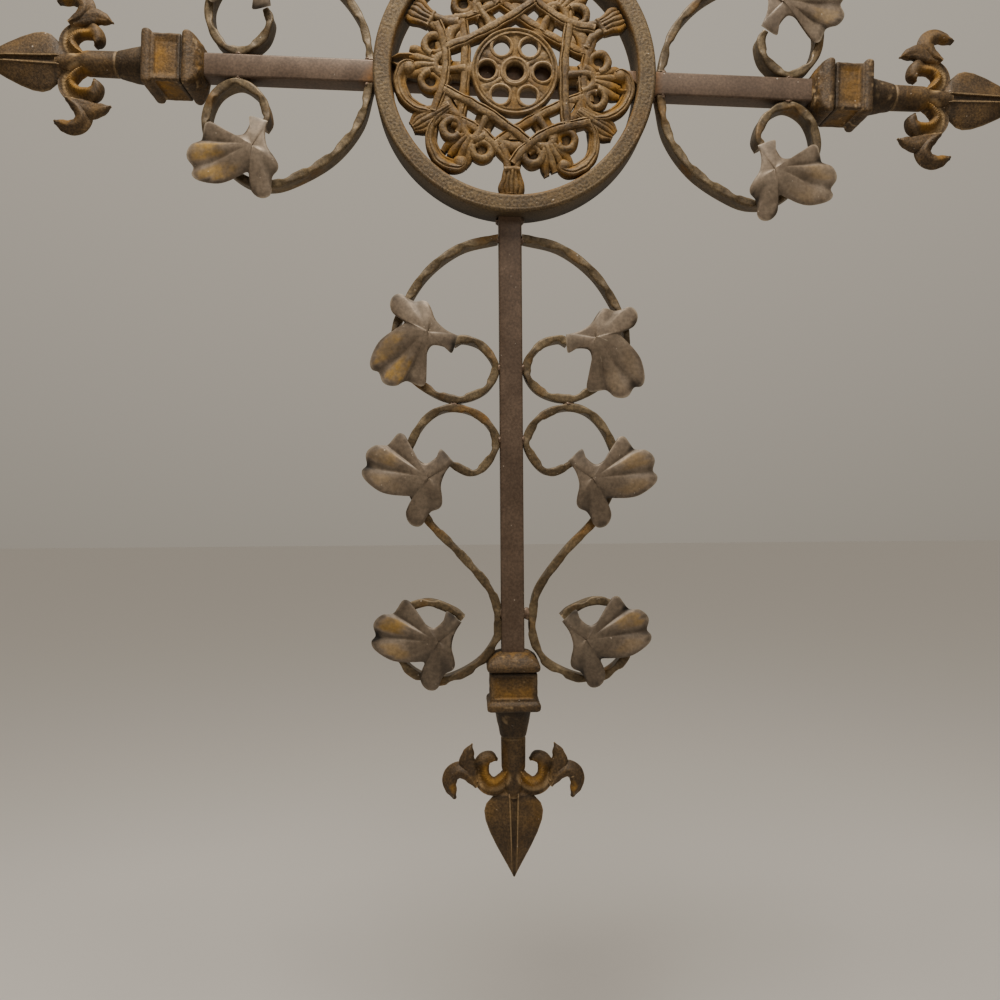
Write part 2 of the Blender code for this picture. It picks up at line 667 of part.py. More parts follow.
def hang():
    """Puts the origin where the cross meets the wall: on the back of the top collar's upper bead."""
    down = SHOULDERS["top"] + COLLAR_SHOULDER + BEAD_ROUND + BEAD_DEPTH / 3
    touches = LIMBS["top"] @ Vector((0, BAR_MIDDLE + COLLAR_BEAD / 2, -down))
    for thing in bpy.data.objects:
        if thing.type == "MESH":
            thing.data.transform(Matrix.Translation(-touches))
    print("hung from, mm:", [round(value / MM, 3) for value in touches])


build()
hang()
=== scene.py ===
# %% [markdown]
# # A wall cross of forged and cast iron
#
# The cross is built the way a smith would build it: square bars, a cast medallion at the crossing,
# strip bent into scrolls, pressed leaves on the scrolls' ends, and a cast collar and spear on every
# end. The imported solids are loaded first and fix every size. Each piece made here takes the place
# of one solid and stays where that solid is, so the cross keeps its measure.

# %% Load the frame
import math

import bmesh
import bpy
from mathutils import Matrix, Vector, noise


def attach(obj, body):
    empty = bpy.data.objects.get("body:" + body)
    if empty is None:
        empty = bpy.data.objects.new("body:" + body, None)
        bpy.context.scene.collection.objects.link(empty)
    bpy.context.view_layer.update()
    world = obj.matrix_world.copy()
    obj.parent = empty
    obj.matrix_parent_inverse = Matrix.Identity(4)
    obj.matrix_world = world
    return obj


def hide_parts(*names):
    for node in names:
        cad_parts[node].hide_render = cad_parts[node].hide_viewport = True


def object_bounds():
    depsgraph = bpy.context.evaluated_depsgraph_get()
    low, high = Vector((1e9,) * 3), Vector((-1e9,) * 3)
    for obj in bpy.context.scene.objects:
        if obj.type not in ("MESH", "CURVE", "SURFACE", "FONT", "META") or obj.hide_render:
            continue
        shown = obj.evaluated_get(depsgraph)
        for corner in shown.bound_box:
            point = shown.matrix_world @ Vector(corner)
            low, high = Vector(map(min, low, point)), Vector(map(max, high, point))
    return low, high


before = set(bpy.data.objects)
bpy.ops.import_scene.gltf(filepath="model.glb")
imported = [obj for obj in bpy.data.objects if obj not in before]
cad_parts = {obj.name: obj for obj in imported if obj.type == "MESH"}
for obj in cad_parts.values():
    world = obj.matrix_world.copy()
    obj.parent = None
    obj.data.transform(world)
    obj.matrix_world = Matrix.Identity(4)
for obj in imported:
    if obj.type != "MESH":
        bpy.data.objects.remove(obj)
cad_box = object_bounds()
print("solids:", len(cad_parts), "box:", [round(value, 4) for corner in cad_box for value in corner])

# %% [markdown]
# ## Sizes
#
# These are the sizes of the solids, in metres. The bar is half-inch square stock, and everything
# that touches it is placed from its face. The front of the cross faces -Y and Z is up.

# %% Sizes of the stock and the castings
MM = 0.001
GAP = 0.3 * MM
BAR = 12.7 * MM
BAR_MIDDLE = -BAR / 2
HEAD_LEAN = 2.0
SHOULDER = {"left": 170.0 * MM, "right": 166.5 * MM, "top": 166.5 * MM}
SOCKET = 10.0 * MM
RING_RADIUS = 77.4 * MM
RING_BORE = 67.5 * MM
RING_DEPTH = 21.5 * MM
WORK_FRONT = -20.3 * MM
WORK_BACK = -13.3 * MM
STRIP = 3.4 * MM
STRIP_DEPTH = 12.0 * MM
STRIP_FRONT = BAR_MIDDLE - STRIP_DEPTH / 2
TOUCH = BAR / 2 + GAP + STRIP / 2
C_RUN = 90.5 * MM
C_REACH = 56.0 * MM
C_SETBACK = {"foot": 9.0 * MM, "left": 0.0, "right": 2.0 * MM, "top": 1.0 * MM}
C_START = {limb: RING_RADIUS + GAP + STRIP / 2 + setback for limb, setback in C_SETBACK.items()}
S_RUN = 151.0 * MM
S_REACH = 58.5 * MM
S_START = C_START["foot"] + C_RUN + STRIP + GAP
SHOULDER["foot"] = S_START + S_RUN - 15.5 * MM
FOOT_SHIFT = -(RING_RADIUS + BAR / 2) * math.sin(math.radians(HEAD_LEAN))
COLLAR_BEAD = 29.8 * MM
COLLAR_SHOULDER = 5.6 * MM
print("crossing to the foot's collar:", round(SHOULDER["foot"] / MM, 1), "mm")

# %% [markdown]
# ## Limbs
#
# Every limb is modelled hanging down from the crossing, as the foot does: X runs sideways, Z along
# the bar and -Y to the front. A matrix for each limb then turns the finished mesh into place, so
# one recipe serves all four limbs. The head of this cross was welded two degrees off the foot.
# The origin is where the cross meets the wall, on the back of the top collar's upper bead, so
# one more shift takes the crossing there.

# %% Turn each limb into place
def turned(degrees):
    return Matrix.Rotation(math.radians(degrees), 4, "Y")


WALL_POINT = Vector((0, BAR_MIDDLE + COLLAR_BEAD / 2, -(SHOULDER["top"] + COLLAR_SHOULDER + 2.2 * MM)))
CROSSING = Matrix.Translation(-(turned(180 + HEAD_LEAN) @ WALL_POINT))
FROM_CROSSING = CROSSING.inverted()
HEAD = CROSSING @ turned(HEAD_LEAN)
LIMBS = {
    "foot": CROSSING @ Matrix.Translation((FOOT_SHIFT, 0, 0)),
    "left": CROSSING @ turned(90 + HEAD_LEAN),
    "right": CROSSING @ turned(-90 + HEAD_LEAN),
    "top": CROSSING @ turned(180 + HEAD_LEAN),
}
MIRROR_X = Matrix.Diagonal((-1, 1, 1, 1))


def settle(bm, limb, side=1):
    """Puts a piece on its limb, mirrored across the bar where side is -1."""
    place = LIMBS[limb] @ MIRROR_X if side < 0 else LIMBS[limb]
    bmesh.ops.transform(bm, matrix=place, verts=bm.verts)


# %% [markdown]
# ## Iron that has been outdoors
#
# Old iron is never one colour. It is a brown skin with darker patches, a fine grain from the mould
# or the hammer, worn edges that catch the light and ochre rust where water stays. The effect is one
# node group with inputs for its colours and scales. It reads Object coordinates, so its grain
# has the same size on every piece. Where rust lies is painted on each mesh as an attribute
# called rust, because it follows the shape and not the space round it. Below zero the same
# attribute paints shade: hollows, grooves and undersides are darkened towards black in place of
# the shade that falls there, and a few dark marks are laid the same way.

# %% The old iron group
def add_node(tree, kind, label, **settings):
    node = tree.nodes.new("ShaderNode" + kind)
    node.label = label
    for name, value in settings.items():
        setattr(node, name, value)
    return node


def mix_colour(tree, label, blend="MIX"):
    return add_node(tree, "Mix", label, data_type="RGBA", blend_type=blend)


def ramp_between(tree, label, low, high):
    """Stretches values between low and high to run from 0 to 1."""
    node = add_node(tree, "MapRange", label, clamp=True, interpolation_type="SMOOTHSTEP")
    node.inputs["From Min"].default_value = low
    node.inputs["From Max"].default_value = high
    return node


def old_iron_group():
    tree = bpy.data.node_groups.new("old_iron", "ShaderNodeTree")
    ports = tree.interface
    for name, kind, value in (("Skin", "Color", (0.1, 0.07, 0.05, 1)), ("Shade", "Color", (0.04, 0.03, 0.02, 1)),
                              ("Rust", "Color", (0.2, 0.09, 0.02, 1)), ("Worn", "Color", (0.2, 0.16, 0.13, 1)),
                              ("Painted Rust And Shade", "Float", 0.0), ("Edges", "Float", 0.0),
                              ("Stray Rust", "Float", 0.2), ("Grain", "Float", 0.5), ("Grain Scale", "Float", 900.0),
                              ("Smooth", "Float", 0.4), ("Rough", "Float", 0.7)):
        port = ports.new_socket(name=name, in_out="INPUT", socket_type="NodeSocket" + kind)
        port.default_value = value
    for name, kind in (("Color", "Color"), ("Roughness", "Float"), ("Height", "Float"), ("Rusted", "Float")):
        ports.new_socket(name=name, in_out="OUTPUT", socket_type="NodeSocket" + kind)
    entry = add_node(tree, "TexCoord", "coordinates")
    given = tree.nodes.new("NodeGroupInput")
    result = tree.nodes.new("NodeGroupOutput")
    link = tree.links.new

    patches = add_node(tree, "TexNoise", "patches")
    patches.inputs["Scale"].default_value = 55.0
    patches.inputs["Detail"].default_value = 5.0
    patches.inputs["Roughness"].default_value = 0.62
    grain = add_node(tree, "TexNoise", "grain")
    grain.inputs["Detail"].default_value = 3.0
    grain.inputs["Roughness"].default_value = 0.6
    blooms = add_node(tree, "TexNoise", "rust blooms")
    blooms.inputs["Scale"].default_value = 95.0
    blooms.inputs["Detail"].default_value = 6.0
    blooms.inputs["Roughness"].default_value = 0.7
    specks = add_node(tree, "TexNoise", "specks")
    specks.inputs["Scale"].default_value = 480.0
    specks.inputs["Detail"].default_value = 1.0
    for texture in (patches, grain, blooms, specks):
        link(entry.outputs["Object"], texture.inputs["Vector"])
    link(given.outputs["Grain Scale"], grain.inputs["Scale"])

    patch_mask = ramp_between(tree, "patch mask", 0.38, 0.62)
    link(patches.outputs["Fac"], patch_mask.inputs["Value"])
    skin = mix_colour(tree, "skin and shade")
    link(patch_mask.outputs["Result"], skin.inputs["Factor"])
    link(given.outputs["Shade"], skin.inputs["A"])
    link(given.outputs["Skin"], skin.inputs["B"])

    grain_light = ramp_between(tree, "grain light", 0.3, 0.7)
    grain_light.inputs["To Min"].default_value = 0.66
    grain_light.inputs["To Max"].default_value = 1.34
    link(grain.outputs["Fac"], grain_light.inputs["Value"])
    grained = mix_colour(tree, "grain on skin", "MULTIPLY")
    link(given.outputs["Grain"], grained.inputs["Factor"])
    link(skin.outputs["Result"], grained.inputs["A"])
    link(grain_light.outputs["Result"], grained.inputs["B"])

    worn = mix_colour(tree, "worn edges")
    link(given.outputs["Edges"], worn.inputs["Factor"])
    link(grained.outputs["Result"], worn.inputs["A"])
    link(given.outputs["Worn"], worn.inputs["B"])

    bloom_mask = ramp_between(tree, "bloom mask", 0.52, 0.68)
    link(blooms.outputs["Fac"], bloom_mask.inputs["Value"])
    stray = add_node(tree, "Math", "stray rust", operation="MULTIPLY")
    link(bloom_mask.outputs["Result"], stray.inputs[0])
    link(given.outputs["Stray Rust"], stray.inputs[1])
    breakup = ramp_between(tree, "painted rust and shade breaks up", 0.34, 0.6)
    breakup.inputs["To Min"].default_value = 0.25
    link(blooms.outputs["Fac"], breakup.inputs["Value"])
    painted = add_node(tree, "Math", "painted rust and shade", operation="MULTIPLY")
    link(given.outputs["Painted Rust And Shade"], painted.inputs[0])
    link(breakup.outputs["Result"], painted.inputs[1])
    total = add_node(tree, "Math", "all rust", operation="ADD", use_clamp=True)
    link(stray.outputs["Value"], total.inputs[0])
    link(painted.outputs["Value"], total.inputs[1])
    rusted = mix_colour(tree, "rust over iron")
    link(total.outputs["Value"], rusted.inputs["Factor"])
    link(worn.outputs["Result"], rusted.inputs["A"])
    link(given.outputs["Rust"], rusted.inputs["B"])
    rust_grain = mix_colour(tree, "grain on rust", "MULTIPLY")
    rust_grain.inputs["Factor"].default_value = 0.55
    link(rusted.outputs["Result"], rust_grain.inputs["A"])
    link(grain_light.outputs["Result"], rust_grain.inputs["B"])

    speck_mask = ramp_between(tree, "speck mask", 0.765, 0.80)
    speck_mask.inputs["To Max"].default_value = 0.45
    link(specks.outputs["Fac"], speck_mask.inputs["Value"])
    flecked = mix_colour(tree, "pale specks")
    flecked.inputs["B"].default_value = (0.55, 0.47, 0.38, 1.0)
    link(speck_mask.outputs["Result"], flecked.inputs["Factor"])
    link(rust_grain.outputs["Result"], flecked.inputs["A"])
    # Below zero the painted attribute is painted shade and a few dark marks: it takes the colour towards this near
    # black.
    painted_shade_and_dark_marks = add_node(tree, "Math", "painted_shade_and_dark_marks", operation="MULTIPLY", use_clamp=True)
    painted_shade_and_dark_marks.inputs[1].default_value = -1.0
    link(given.outputs["Painted Rust And Shade"], painted_shade_and_dark_marks.inputs[0])
    with_painted_shade_and_dark_marks = mix_colour(tree, "soot over all")
    with_painted_shade_and_dark_marks.inputs["B"].default_value = (0.007, 0.005, 0.003, 1.0)
    link(painted_shade_and_dark_marks.outputs["Value"], with_painted_shade_and_dark_marks.inputs["Factor"])
    link(flecked.outputs["Result"], with_painted_shade_and_dark_marks.inputs["A"])
    link(with_painted_shade_and_dark_marks.outputs["Result"], result.inputs["Color"])

    rough = add_node(tree, "Mix", "roughness", data_type="FLOAT")
    link(total.outputs["Value"], rough.inputs["Factor"])
    link(given.outputs["Smooth"], rough.inputs["A"])
    link(given.outputs["Rough"], rough.inputs["B"])
    uneven = add_node(tree, "Math", "uneven gloss", operation="MULTIPLY_ADD")
    link(patches.outputs["Fac"], uneven.inputs[0])
    uneven.inputs[1].default_value = 0.22
    link(rough.outputs["Result"], uneven.inputs[2])
    link(uneven.outputs["Value"], result.inputs["Roughness"])

    swell = add_node(tree, "Math", "grain and scale", operation="MULTIPLY_ADD")
    link(blooms.outputs["Fac"], swell.inputs[0])
    swell.inputs[1].default_value = 0.8
    link(grain.outputs["Fac"], swell.inputs[2])
    link(swell.outputs["Value"], result.inputs["Height"])
    link(total.outputs["Value"], result.inputs["Rusted"])
    return tree


OLD_IRON = old_iron_group()
print("group:", OLD_IRON.name, len(OLD_IRON.nodes), "nodes")

# %% [markdown]
# ## The finishes
#
# The finishes share the group. Bars are rolled, so they are smooth and even. Castings keep the
# sand's grain and hold rust in their recesses. Strip is dark from the fire. Leaves are pressed
# from smooth sheet, with a satin skin. The shader and the edge mask stay in each material.

# %% Make the finishes
def finish(name, skin, shade, rust, worn, metallic, smooth, rough, grain, grain_scale, bump, stray):
    material = bpy.data.materials.new(name)
    material.use_nodes = True
    tree = material.node_tree
    shader = tree.nodes["Principled BSDF"]
    shader.inputs["Metallic"].default_value = metallic
    shader.inputs["Specular IOR Level"].default_value = 0.35
    group = add_node(tree, "Group", "old iron", node_tree=OLD_IRON)
    for port, value in (("Skin", (*skin, 1)), ("Shade", (*shade, 1)), ("Rust", (*rust, 1)), ("Worn", (*worn, 1)),
                        ("Stray Rust", stray), ("Grain", grain), ("Grain Scale", grain_scale), ("Smooth", smooth),
                        ("Rough", rough)):
        group.inputs[port].default_value = value
    painted = add_node(tree, "Attribute", "painted rust and shade", attribute_name="rust")
    form = add_node(tree, "NewGeometry", "form")
    edges = ramp_between(tree, "edges", 0.525, 0.60)
    rubbed = add_node(tree, "Attribute", "rubbed", attribute_name="worn")
    bright = add_node(tree, "Math", "edges and rubbed", operation="ADD", use_clamp=True)
    tree.links.new(form.outputs["Pointiness"], edges.inputs["Value"])
    tree.links.new(edges.outputs["Result"], bright.inputs[0])
    tree.links.new(rubbed.outputs["Fac"], bright.inputs[1])
    tree.links.new(bright.outputs["Value"], group.inputs["Edges"])
    tree.links.new(painted.outputs["Fac"], group.inputs["Painted Rust And Shade"])
    tree.links.new(group.outputs["Color"], shader.inputs["Base Color"])
    tree.links.new(group.outputs["Roughness"], shader.inputs["Roughness"])
    relief = add_node(tree, "Bump", "relief")
    relief.inputs["Strength"].default_value = bump
    relief.inputs["Distance"].default_value = 0.4 * MM
    tree.links.new(group.outputs["Height"], relief.inputs["Height"])
    tree.links.new(relief.outputs["Normal"], shader.inputs["Normal"])
    return material


bar_skin = finish("bar_skin", (0.097, 0.064, 0.043), (0.074, 0.048, 0.032), (0.18, 0.078, 0.016),
                  (0.15, 0.105, 0.075), 0.30, 0.36, 0.70, 0.11, 700.0, 0.06, 0.03)
cast_skin = finish("cast_skin", (0.140, 0.088, 0.035), (0.062, 0.036, 0.013), (0.175, 0.086, 0.011),
                   (0.26, 0.174, 0.088), 0.18, 0.52, 0.80, 0.75, 850.0, 0.65, 0.26)
ring_skin = finish("ring_skin", (0.102, 0.069, 0.032), (0.072, 0.047, 0.022), (0.15, 0.070, 0.010),
                   (0.165, 0.115, 0.062), 0.18, 0.52, 0.78, 0.80, 950.0, 0.60, 0.14)
strip_skin = finish("strip_skin", (0.120, 0.086, 0.045), (0.062, 0.042, 0.021), (0.165, 0.078, 0.012),
                    (0.24, 0.182, 0.115), 0.30, 0.42, 0.75, 0.40, 600.0, 0.30, 0.15)
leaf_skin = finish("leaf_skin", (0.168, 0.127, 0.089), (0.122, 0.090, 0.062), (0.30, 0.172, 0.026),
                   (0.25, 0.200, 0.145), 0.22, 0.40, 0.58, 0.04, 500.0, 0.05, 0.0)
end_skin = finish("end_skin", (0.080, 0.048, 0.020), (0.044, 0.026, 0.011), (0.215, 0.108, 0.016),
                  (0.27, 0.185, 0.095), 0.18, 0.52, 0.80, 0.80, 850.0, 0.65, 0.12)
print("finishes:", [material.name for material in bpy.data.materials if material.name.endswith("_skin")])

# %% [markdown]
# ## Turning a mesh into a piece
#
# Every mesh ends the same way: doubles are merged, the faces are made to point out, the surface is
# shaded smooth with its hard edges kept, the piece is tied to the body it rides on, and the solid
# that it replaces is hidden.

# %% Close a mesh into a piece
def close_piece(name, bm, material, replaces=(), hard=40.0, rust=None, worn=None):
    bmesh.ops.remove_doubles(bm, verts=bm.verts, dist=0.002 * MM)
    bmesh.ops.recalc_face_normals(bm, faces=bm.faces)
    mesh = bpy.data.meshes.new(name)
    bm.to_mesh(mesh)
    bm.free()
    mesh.shade_smooth()
    mesh.set_sharp_from_angle(angle=math.radians(hard))
    mesh.materials.append(material)
    for layer, amount in (("rust", rust), ("worn", worn)):
        painted = mesh.attributes.get(layer) or mesh.attributes.new(layer, "FLOAT", "POINT")
        if amount is not None:
            for vert, value in zip(mesh.vertices, painted.data):
                value.value = min(1.0, max(-1.0, amount(vert.co)))
    piece = bpy.data.objects.new(name, mesh)
    bpy.context.scene.collection.objects.link(piece)
    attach(piece, "root")
    if replaces:
        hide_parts(*replaces)
    return piece


def pour(bm, part, place=None):
    """Adds one closed bmesh to another."""
    if place is not None:
        bmesh.ops.transform(part, matrix=place, verts=part.verts)
    bmesh.ops.remove_doubles(part, verts=part.verts, dist=0.002 * MM)
    bmesh.ops.recalc_face_normals(part, faces=part.faces)
    mesh = bpy.data.meshes.new("pour")
    part.to_mesh(mesh)
    part.free()
    bm.from_mesh(mesh)
    bpy.data.meshes.remove(mesh)


def step(low, high, value):
    """A smooth step from 0 to 1 between low and high."""
    share = min(1.0, max(0.0, (value - low) / (high - low)))
    return share * share * (3 - 2 * share)


# %% [markdown]
# ## Bent grids
#
# Most of the ironwork is a flat grid bent round: rolled into a rod it is a strip, a strap or a
# blade, and drawn out from its middle it is a leaf. create_grid lays the grid out, a small function
# says where each point goes, and the seam is merged. The open ends of a rod are filled.

# %% Bend a grid
def bent_grid(along, across, place, paint=None):
    """Grid with every point moved to place(i, j), i from 0 to along and j from 0 to across."""
    bm = bmesh.new()
    bmesh.ops.create_grid(bm, x_segments=along, y_segments=across, size=0.5)
    rust = bm.verts.layers.float.new("rust") if paint else None
    for vert in bm.verts:
        i = round((vert.co.x + 0.5) * along)
        j = round((vert.co.y + 0.5) * across)
        vert.co = place(i, j)
        if paint:
            vert[rust] = paint(i, j)
    return bm


def rod(bm, stations, section_at):
    """Rolls a grid into a closed rod: section_at(i) gives the section's points at station i."""
    sections = [section_at(index) for index in range(len(stations))]
    count = len(sections[0])

    def place(i, j):
        x, y = sections[i][j % count]
        return stations[i] @ Vector((x, y, 0))

    part = bent_grid(len(stations) - 1, count, place)
    bmesh.ops.remove_doubles(part, verts=part.verts, dist=0.002 * MM)
    ends = [edge for edge in part.edges if edge.is_boundary]
    bmesh.ops.holes_fill(part, edges=ends, sides=0)
    pour(bm, part)


def smooth_line(points, steps):
    """A Catmull-Rom curve through 2-D points."""
    ends = [2 * points[0] - points[1], *points, 2 * points[-1] - points[-2]]
    line = []
    for index in range(1, len(ends) - 2):
        a, b, c, d = ends[index - 1:index + 3]
        for number in range(steps):
            t = number / steps
            line.append(0.5 * (2 * b + (c - a) * t + (2 * a - 5 * b + 4 * c - d) * t ** 2
                               + (3 * b - a - 3 * c + d) * t ** 3))
    return [*line, points[-1]]


def even_line(line, spacing):
    """The same line in steps of equal length."""
    lengths = [0.0]
    for here, there in zip(line, line[1:]):
        lengths.append(lengths[-1] + (there - here).length)
    count = max(2, round(lengths[-1] / spacing))
    result = []
    index = 0
    for number in range(count + 1):
        target = lengths[-1] * number / count
        while index < len(line) - 2 and lengths[index + 1] < target:
            index += 1
        span = lengths[index + 1] - lengths[index]
        result.append(line[index].lerp(line[index + 1], min(1.0, max(0.0, (target - lengths[index]) / span))))
    return result


def stations_on(line, depth_at, first=None, last=None):
    """A matrix for each point of a line in the limb's plane: X across it, Y to the back."""
    result = []
    for index, point in enumerate(line):
        heading = (line[min(index + 1, len(line) - 1)] - line[max(index - 1, 0)]).normalized()
        if index == 0 and first is not None:
            heading = first
        if index == len(line) - 1 and last is not None:
            heading = last
        result.append(Matrix(((-heading.y, 0, heading.x, point.x), (0, 1, 0, depth_at),
                              (heading.x, 0, heading.y, point.y), (0, 0, 0, 1))))
    return result


def rounded_box(half_x, half_y, radius, corner_steps, side_steps=1):
    """Points round a rectangle with rounded corners, starting at the middle of a side."""
    points = []
    corners = [(1, -1, -90), (1, 1, 0), (-1, 1, 90), (-1, -1, 180)]
    for index, (sx, sy, start) in enumerate(corners):
        for number in range(corner_steps + 1):
            angle = math.radians(start + 90 * number / corner_steps)
            points.append((sx * (half_x - radius) + radius * math.cos(angle),
                           sy * (half_y - radius) + radius * math.sin(angle)))
        nx, ny, nstart = corners[(index + 1) % 4]
        angle = math.radians(nstart)
        end = (nx * (half_x - radius) + radius * math.cos(angle), ny * (half_y - radius) + radius * math.sin(angle))
        begin = points[-1]
        for number in range(1, side_steps):
            t = number / side_steps
            points.append((begin[0] + (end[0] - begin[0]) * t, begin[1] + (end[1] - begin[1]) * t))
    return points


# %% [markdown]
# ## The bars
#
# The cross hangs on plain square bar. Rolled bar has small round corners, so each bar is a cube
# scaled to length with its long edges bevelled. The upright and top bars are ground to the
# ring, and the cross bar runs on behind the medallion.

# %% Make the bars
def bar_rust(point):
    """Rust where a bar meets the ring."""
    spot = FROM_CROSSING @ point
    ragged = 2.5 * MM * noise.noise(point * 180)
    near = 1 - step(RING_RADIUS + 1.0 * MM, RING_RADIUS + 5.0 * MM, math.hypot(spot.x, spot.z) + ragged)
    return near * (0.8 if abs(spot.x) > RING_BORE else 0.2)


def make_bar(name, limb, near, far, node):
    bm = bmesh.new()
    bmesh.ops.create_cube(bm, size=1.0)
    bmesh.ops.scale(bm, vec=(BAR, BAR, far - near), verts=bm.verts)
    bmesh.ops.translate(bm, vec=(0, BAR_MIDDLE, -(near + far) / 2), verts=bm.verts)
    long_edges = [edge for edge in bm.edges if abs(edge.verts[0].co.z - edge.verts[1].co.z) > BAR]
    bmesh.ops.bevel(bm, geom=long_edges, offset=1.0 * MM, segments=3, profile=0.5, affect="EDGES", material=-1)
    cuts = [edge for edge in bm.edges if abs(edge.verts[0].co.z - edge.verts[1].co.z) > BAR]
    bmesh.ops.subdivide_edges(bm, edges=cuts, cuts=60, use_grid_fill=True)
    for vert in bm.verts:
        if vert.co.z > -near - 0.5 * MM:
            edge = vert.co.x + (FOOT_SHIFT if limb == "foot" else 0.0)
            if near > 0:
                vert.co.z = -math.sqrt((RING_RADIUS + GAP) ** 2 - edge ** 2)
    settle(bm, limb)
    return close_piece(name, bm, bar_skin, (node,), 45.0, bar_rust)


bar_end = {limb: shoulder + SOCKET - GAP for limb, shoulder in SHOULDER.items()}
make_bar("foot_bar_iron", "foot", RING_RADIUS, bar_end["foot"], "foot_bar")
make_bar("top_bar_iron", "top", RING_RADIUS, bar_end["top"], "top_bar")
make_bar("cross_bar_iron", "right", -bar_end["left"], bar_end["right"], "cross_bar")
print("bars reach:", {limb: round(end / MM, 1) for limb, end in bar_end.items()})

# %% [markdown]
# ## The scrolls
#
# The scrolls are flat strip bent on edge. A smith hammers the front edge as it is bent,
# and every blow spreads the edge and leaves the dark side of the strip showing between two blows.
# The section is a rounded box, carried along the curve, and its front corners swell at each blow.

# %% Curves of the scrolls
C_POINTS = [(0, 0), (0.065, 0.36), (0.235, 0.71), (0.49, 0.955), (0.645, 1.0), (0.77, 0.94), (0.895, 0.76),
            (0.99, 0.44), (0.94, 0.13), (0.80, 0), (0.665, 0.13), (0.62, 0.32), (0.645, 0.42)]
S_POINTS = [(0.19, 0.50), (0.24, 0.25), (0.205, 0.09), (0.12, 0), (0.035, 0.14), (0.0, 0.40),
            (0.03, 0.63), (0.12, 0.80), (0.24, 0.86), (0.405, 0.67), (0.53, 0.37), (0.665, 0.08), (0.76, 0)]
S_LOOP = [(0.99, 0.42), (1.0, 0.64), (0.95, 0.87), (0.85, 1.0), (0.76, 0.94), (0.715, 0.68),
          (0.745, 0.43), (0.775, 0.33)]
S_STAND_OFF = {1: 3.0 * MM, -1: 0.0}


def off_the_bar(line):
    return [line[0], *(Vector((max(TOUCH, point.x), point.y)) for point in line[1:])]


def c_line(limb):
    points = [Vector((TOUCH + out * C_REACH, -(C_START[limb] + along * C_RUN))) for along, out in C_POINTS]
    points[0].x = BAR / 2 + GAP
    return even_line(off_the_bar(smooth_line(points, 12)), 1.1 * MM)


def s_line(side):
    stand_off = S_STAND_OFF[side]
    points = [Vector((TOUCH + out * S_REACH, -(S_START + along * S_RUN))) for along, out in S_POINTS]
    points[-1].x += stand_off
    points[-2].x += 0.6 * stand_off
    points.append(Vector((TOUCH + stand_off, -(SHOULDER["foot"] - 0.058 * S_RUN))))
    corner = COLLAR_BEAD / 2 + GAP + STRIP / 2 + 0.6 * MM
    points.append(Vector((corner, -(SHOULDER["foot"] + COLLAR_SHOULDER - 0.6 * MM))))
    points += [Vector((TOUCH + out * S_REACH, -(S_START + along * S_RUN))) for along, out in S_LOOP]
    return even_line(off_the_bar(smooth_line(points, 12)), 1.1 * MM)


print("length of strip in a C-scroll:", round(1.1 * len(c_line("foot")), 0), "mm, in an S-scroll:",
      round(1.1 * len(s_line(1)), 0), "mm")


# %% Hammer the strip
BLOW_PITCH = 15.5 * MM
STRIP_STEP = 1.1 * MM


def blow_at(length, seed):
    """How hard the edge was struck here, from 0 between blows to 1 in the middle of one."""
    length += 2.5 * MM * noise.noise(Vector((length * 30, seed, 0.0)))
    share = (length / BLOW_PITCH + 0.37 * seed) % 1.0
    return step(0.02, 0.22, share) * (1 - step(0.60, 0.92, share))


def strip_rust(point):
    ragged = noise.noise(point * 60)
    return 0.75 * step(0.25, 0.6, ragged)


def make_scroll(name, line, limb, side, seed):
    bm = bmesh.new()
    plain = rounded_box(STRIP / 2, STRIP_DEPTH / 2, 0.9 * MM, 3, 4)

    def section_at(index):
        blow = blow_at(index * STRIP_STEP, seed)
        end = min(index, len(line) - 1 - index) * STRIP_STEP
        fresh = step(0.0, 3.0 * MM, end)
        points = []
        for x, y in plain:
            front = step(0.1, 0.95, -y / (STRIP_DEPTH / 2))
            spread = 1 + front * fresh * (0.52 * blow - 0.06)
            lean = 0.45 * MM * front * (blow - 0.5) * fresh
            points.append((x * spread - lean, y + 0.7 * MM * front * blow * fresh))
        return points

    rod(bm, stations_on(line, BAR_MIDDLE, first=Vector((1, 0))), section_at)
    settle(bm, limb, side)
    return close_piece(name + "_strip", bm, strip_skin, (name,), 50.0, strip_rust)


SIDE_NAMES = {("foot", 1): "foot_right", ("foot", -1): "foot_left", ("left", 1): "left_arm_lower",
              ("left", -1): "left_arm_upper", ("right", 1): "right_arm_upper", ("right", -1): "right_arm_lower",
              ("top", 1): "top_arm_left", ("top", -1): "top_arm_right"}
for seed, ((limb, side), label) in enumerate(SIDE_NAMES.items()):
    make_scroll(label + "_c_scroll", c_line(limb), limb, side, seed + 1)
for side in (1, -1):
    make_scroll(SIDE_NAMES["foot", side] + "_s_scroll", s_line(side), "foot", side, 11 + side)
print("scrolls:", len(SIDE_NAMES) + 2)

# %% [markdown]
# ## The leaves
#
# Each scroll ends in a leaf pressed from thin sheet: two scalloped lobes on a short stem that is
# folded over the strip. The press leaves round flutes that fan out from where the lobes part, with
# a sharp groove between two flutes, and the lobes fall away from the viewer towards their tips.
# The grid is drawn out from that parting point to the leaf's outline and raised by the distance
# along it. The grid runs on round the rim and back behind, a sheet's thickness deeper.

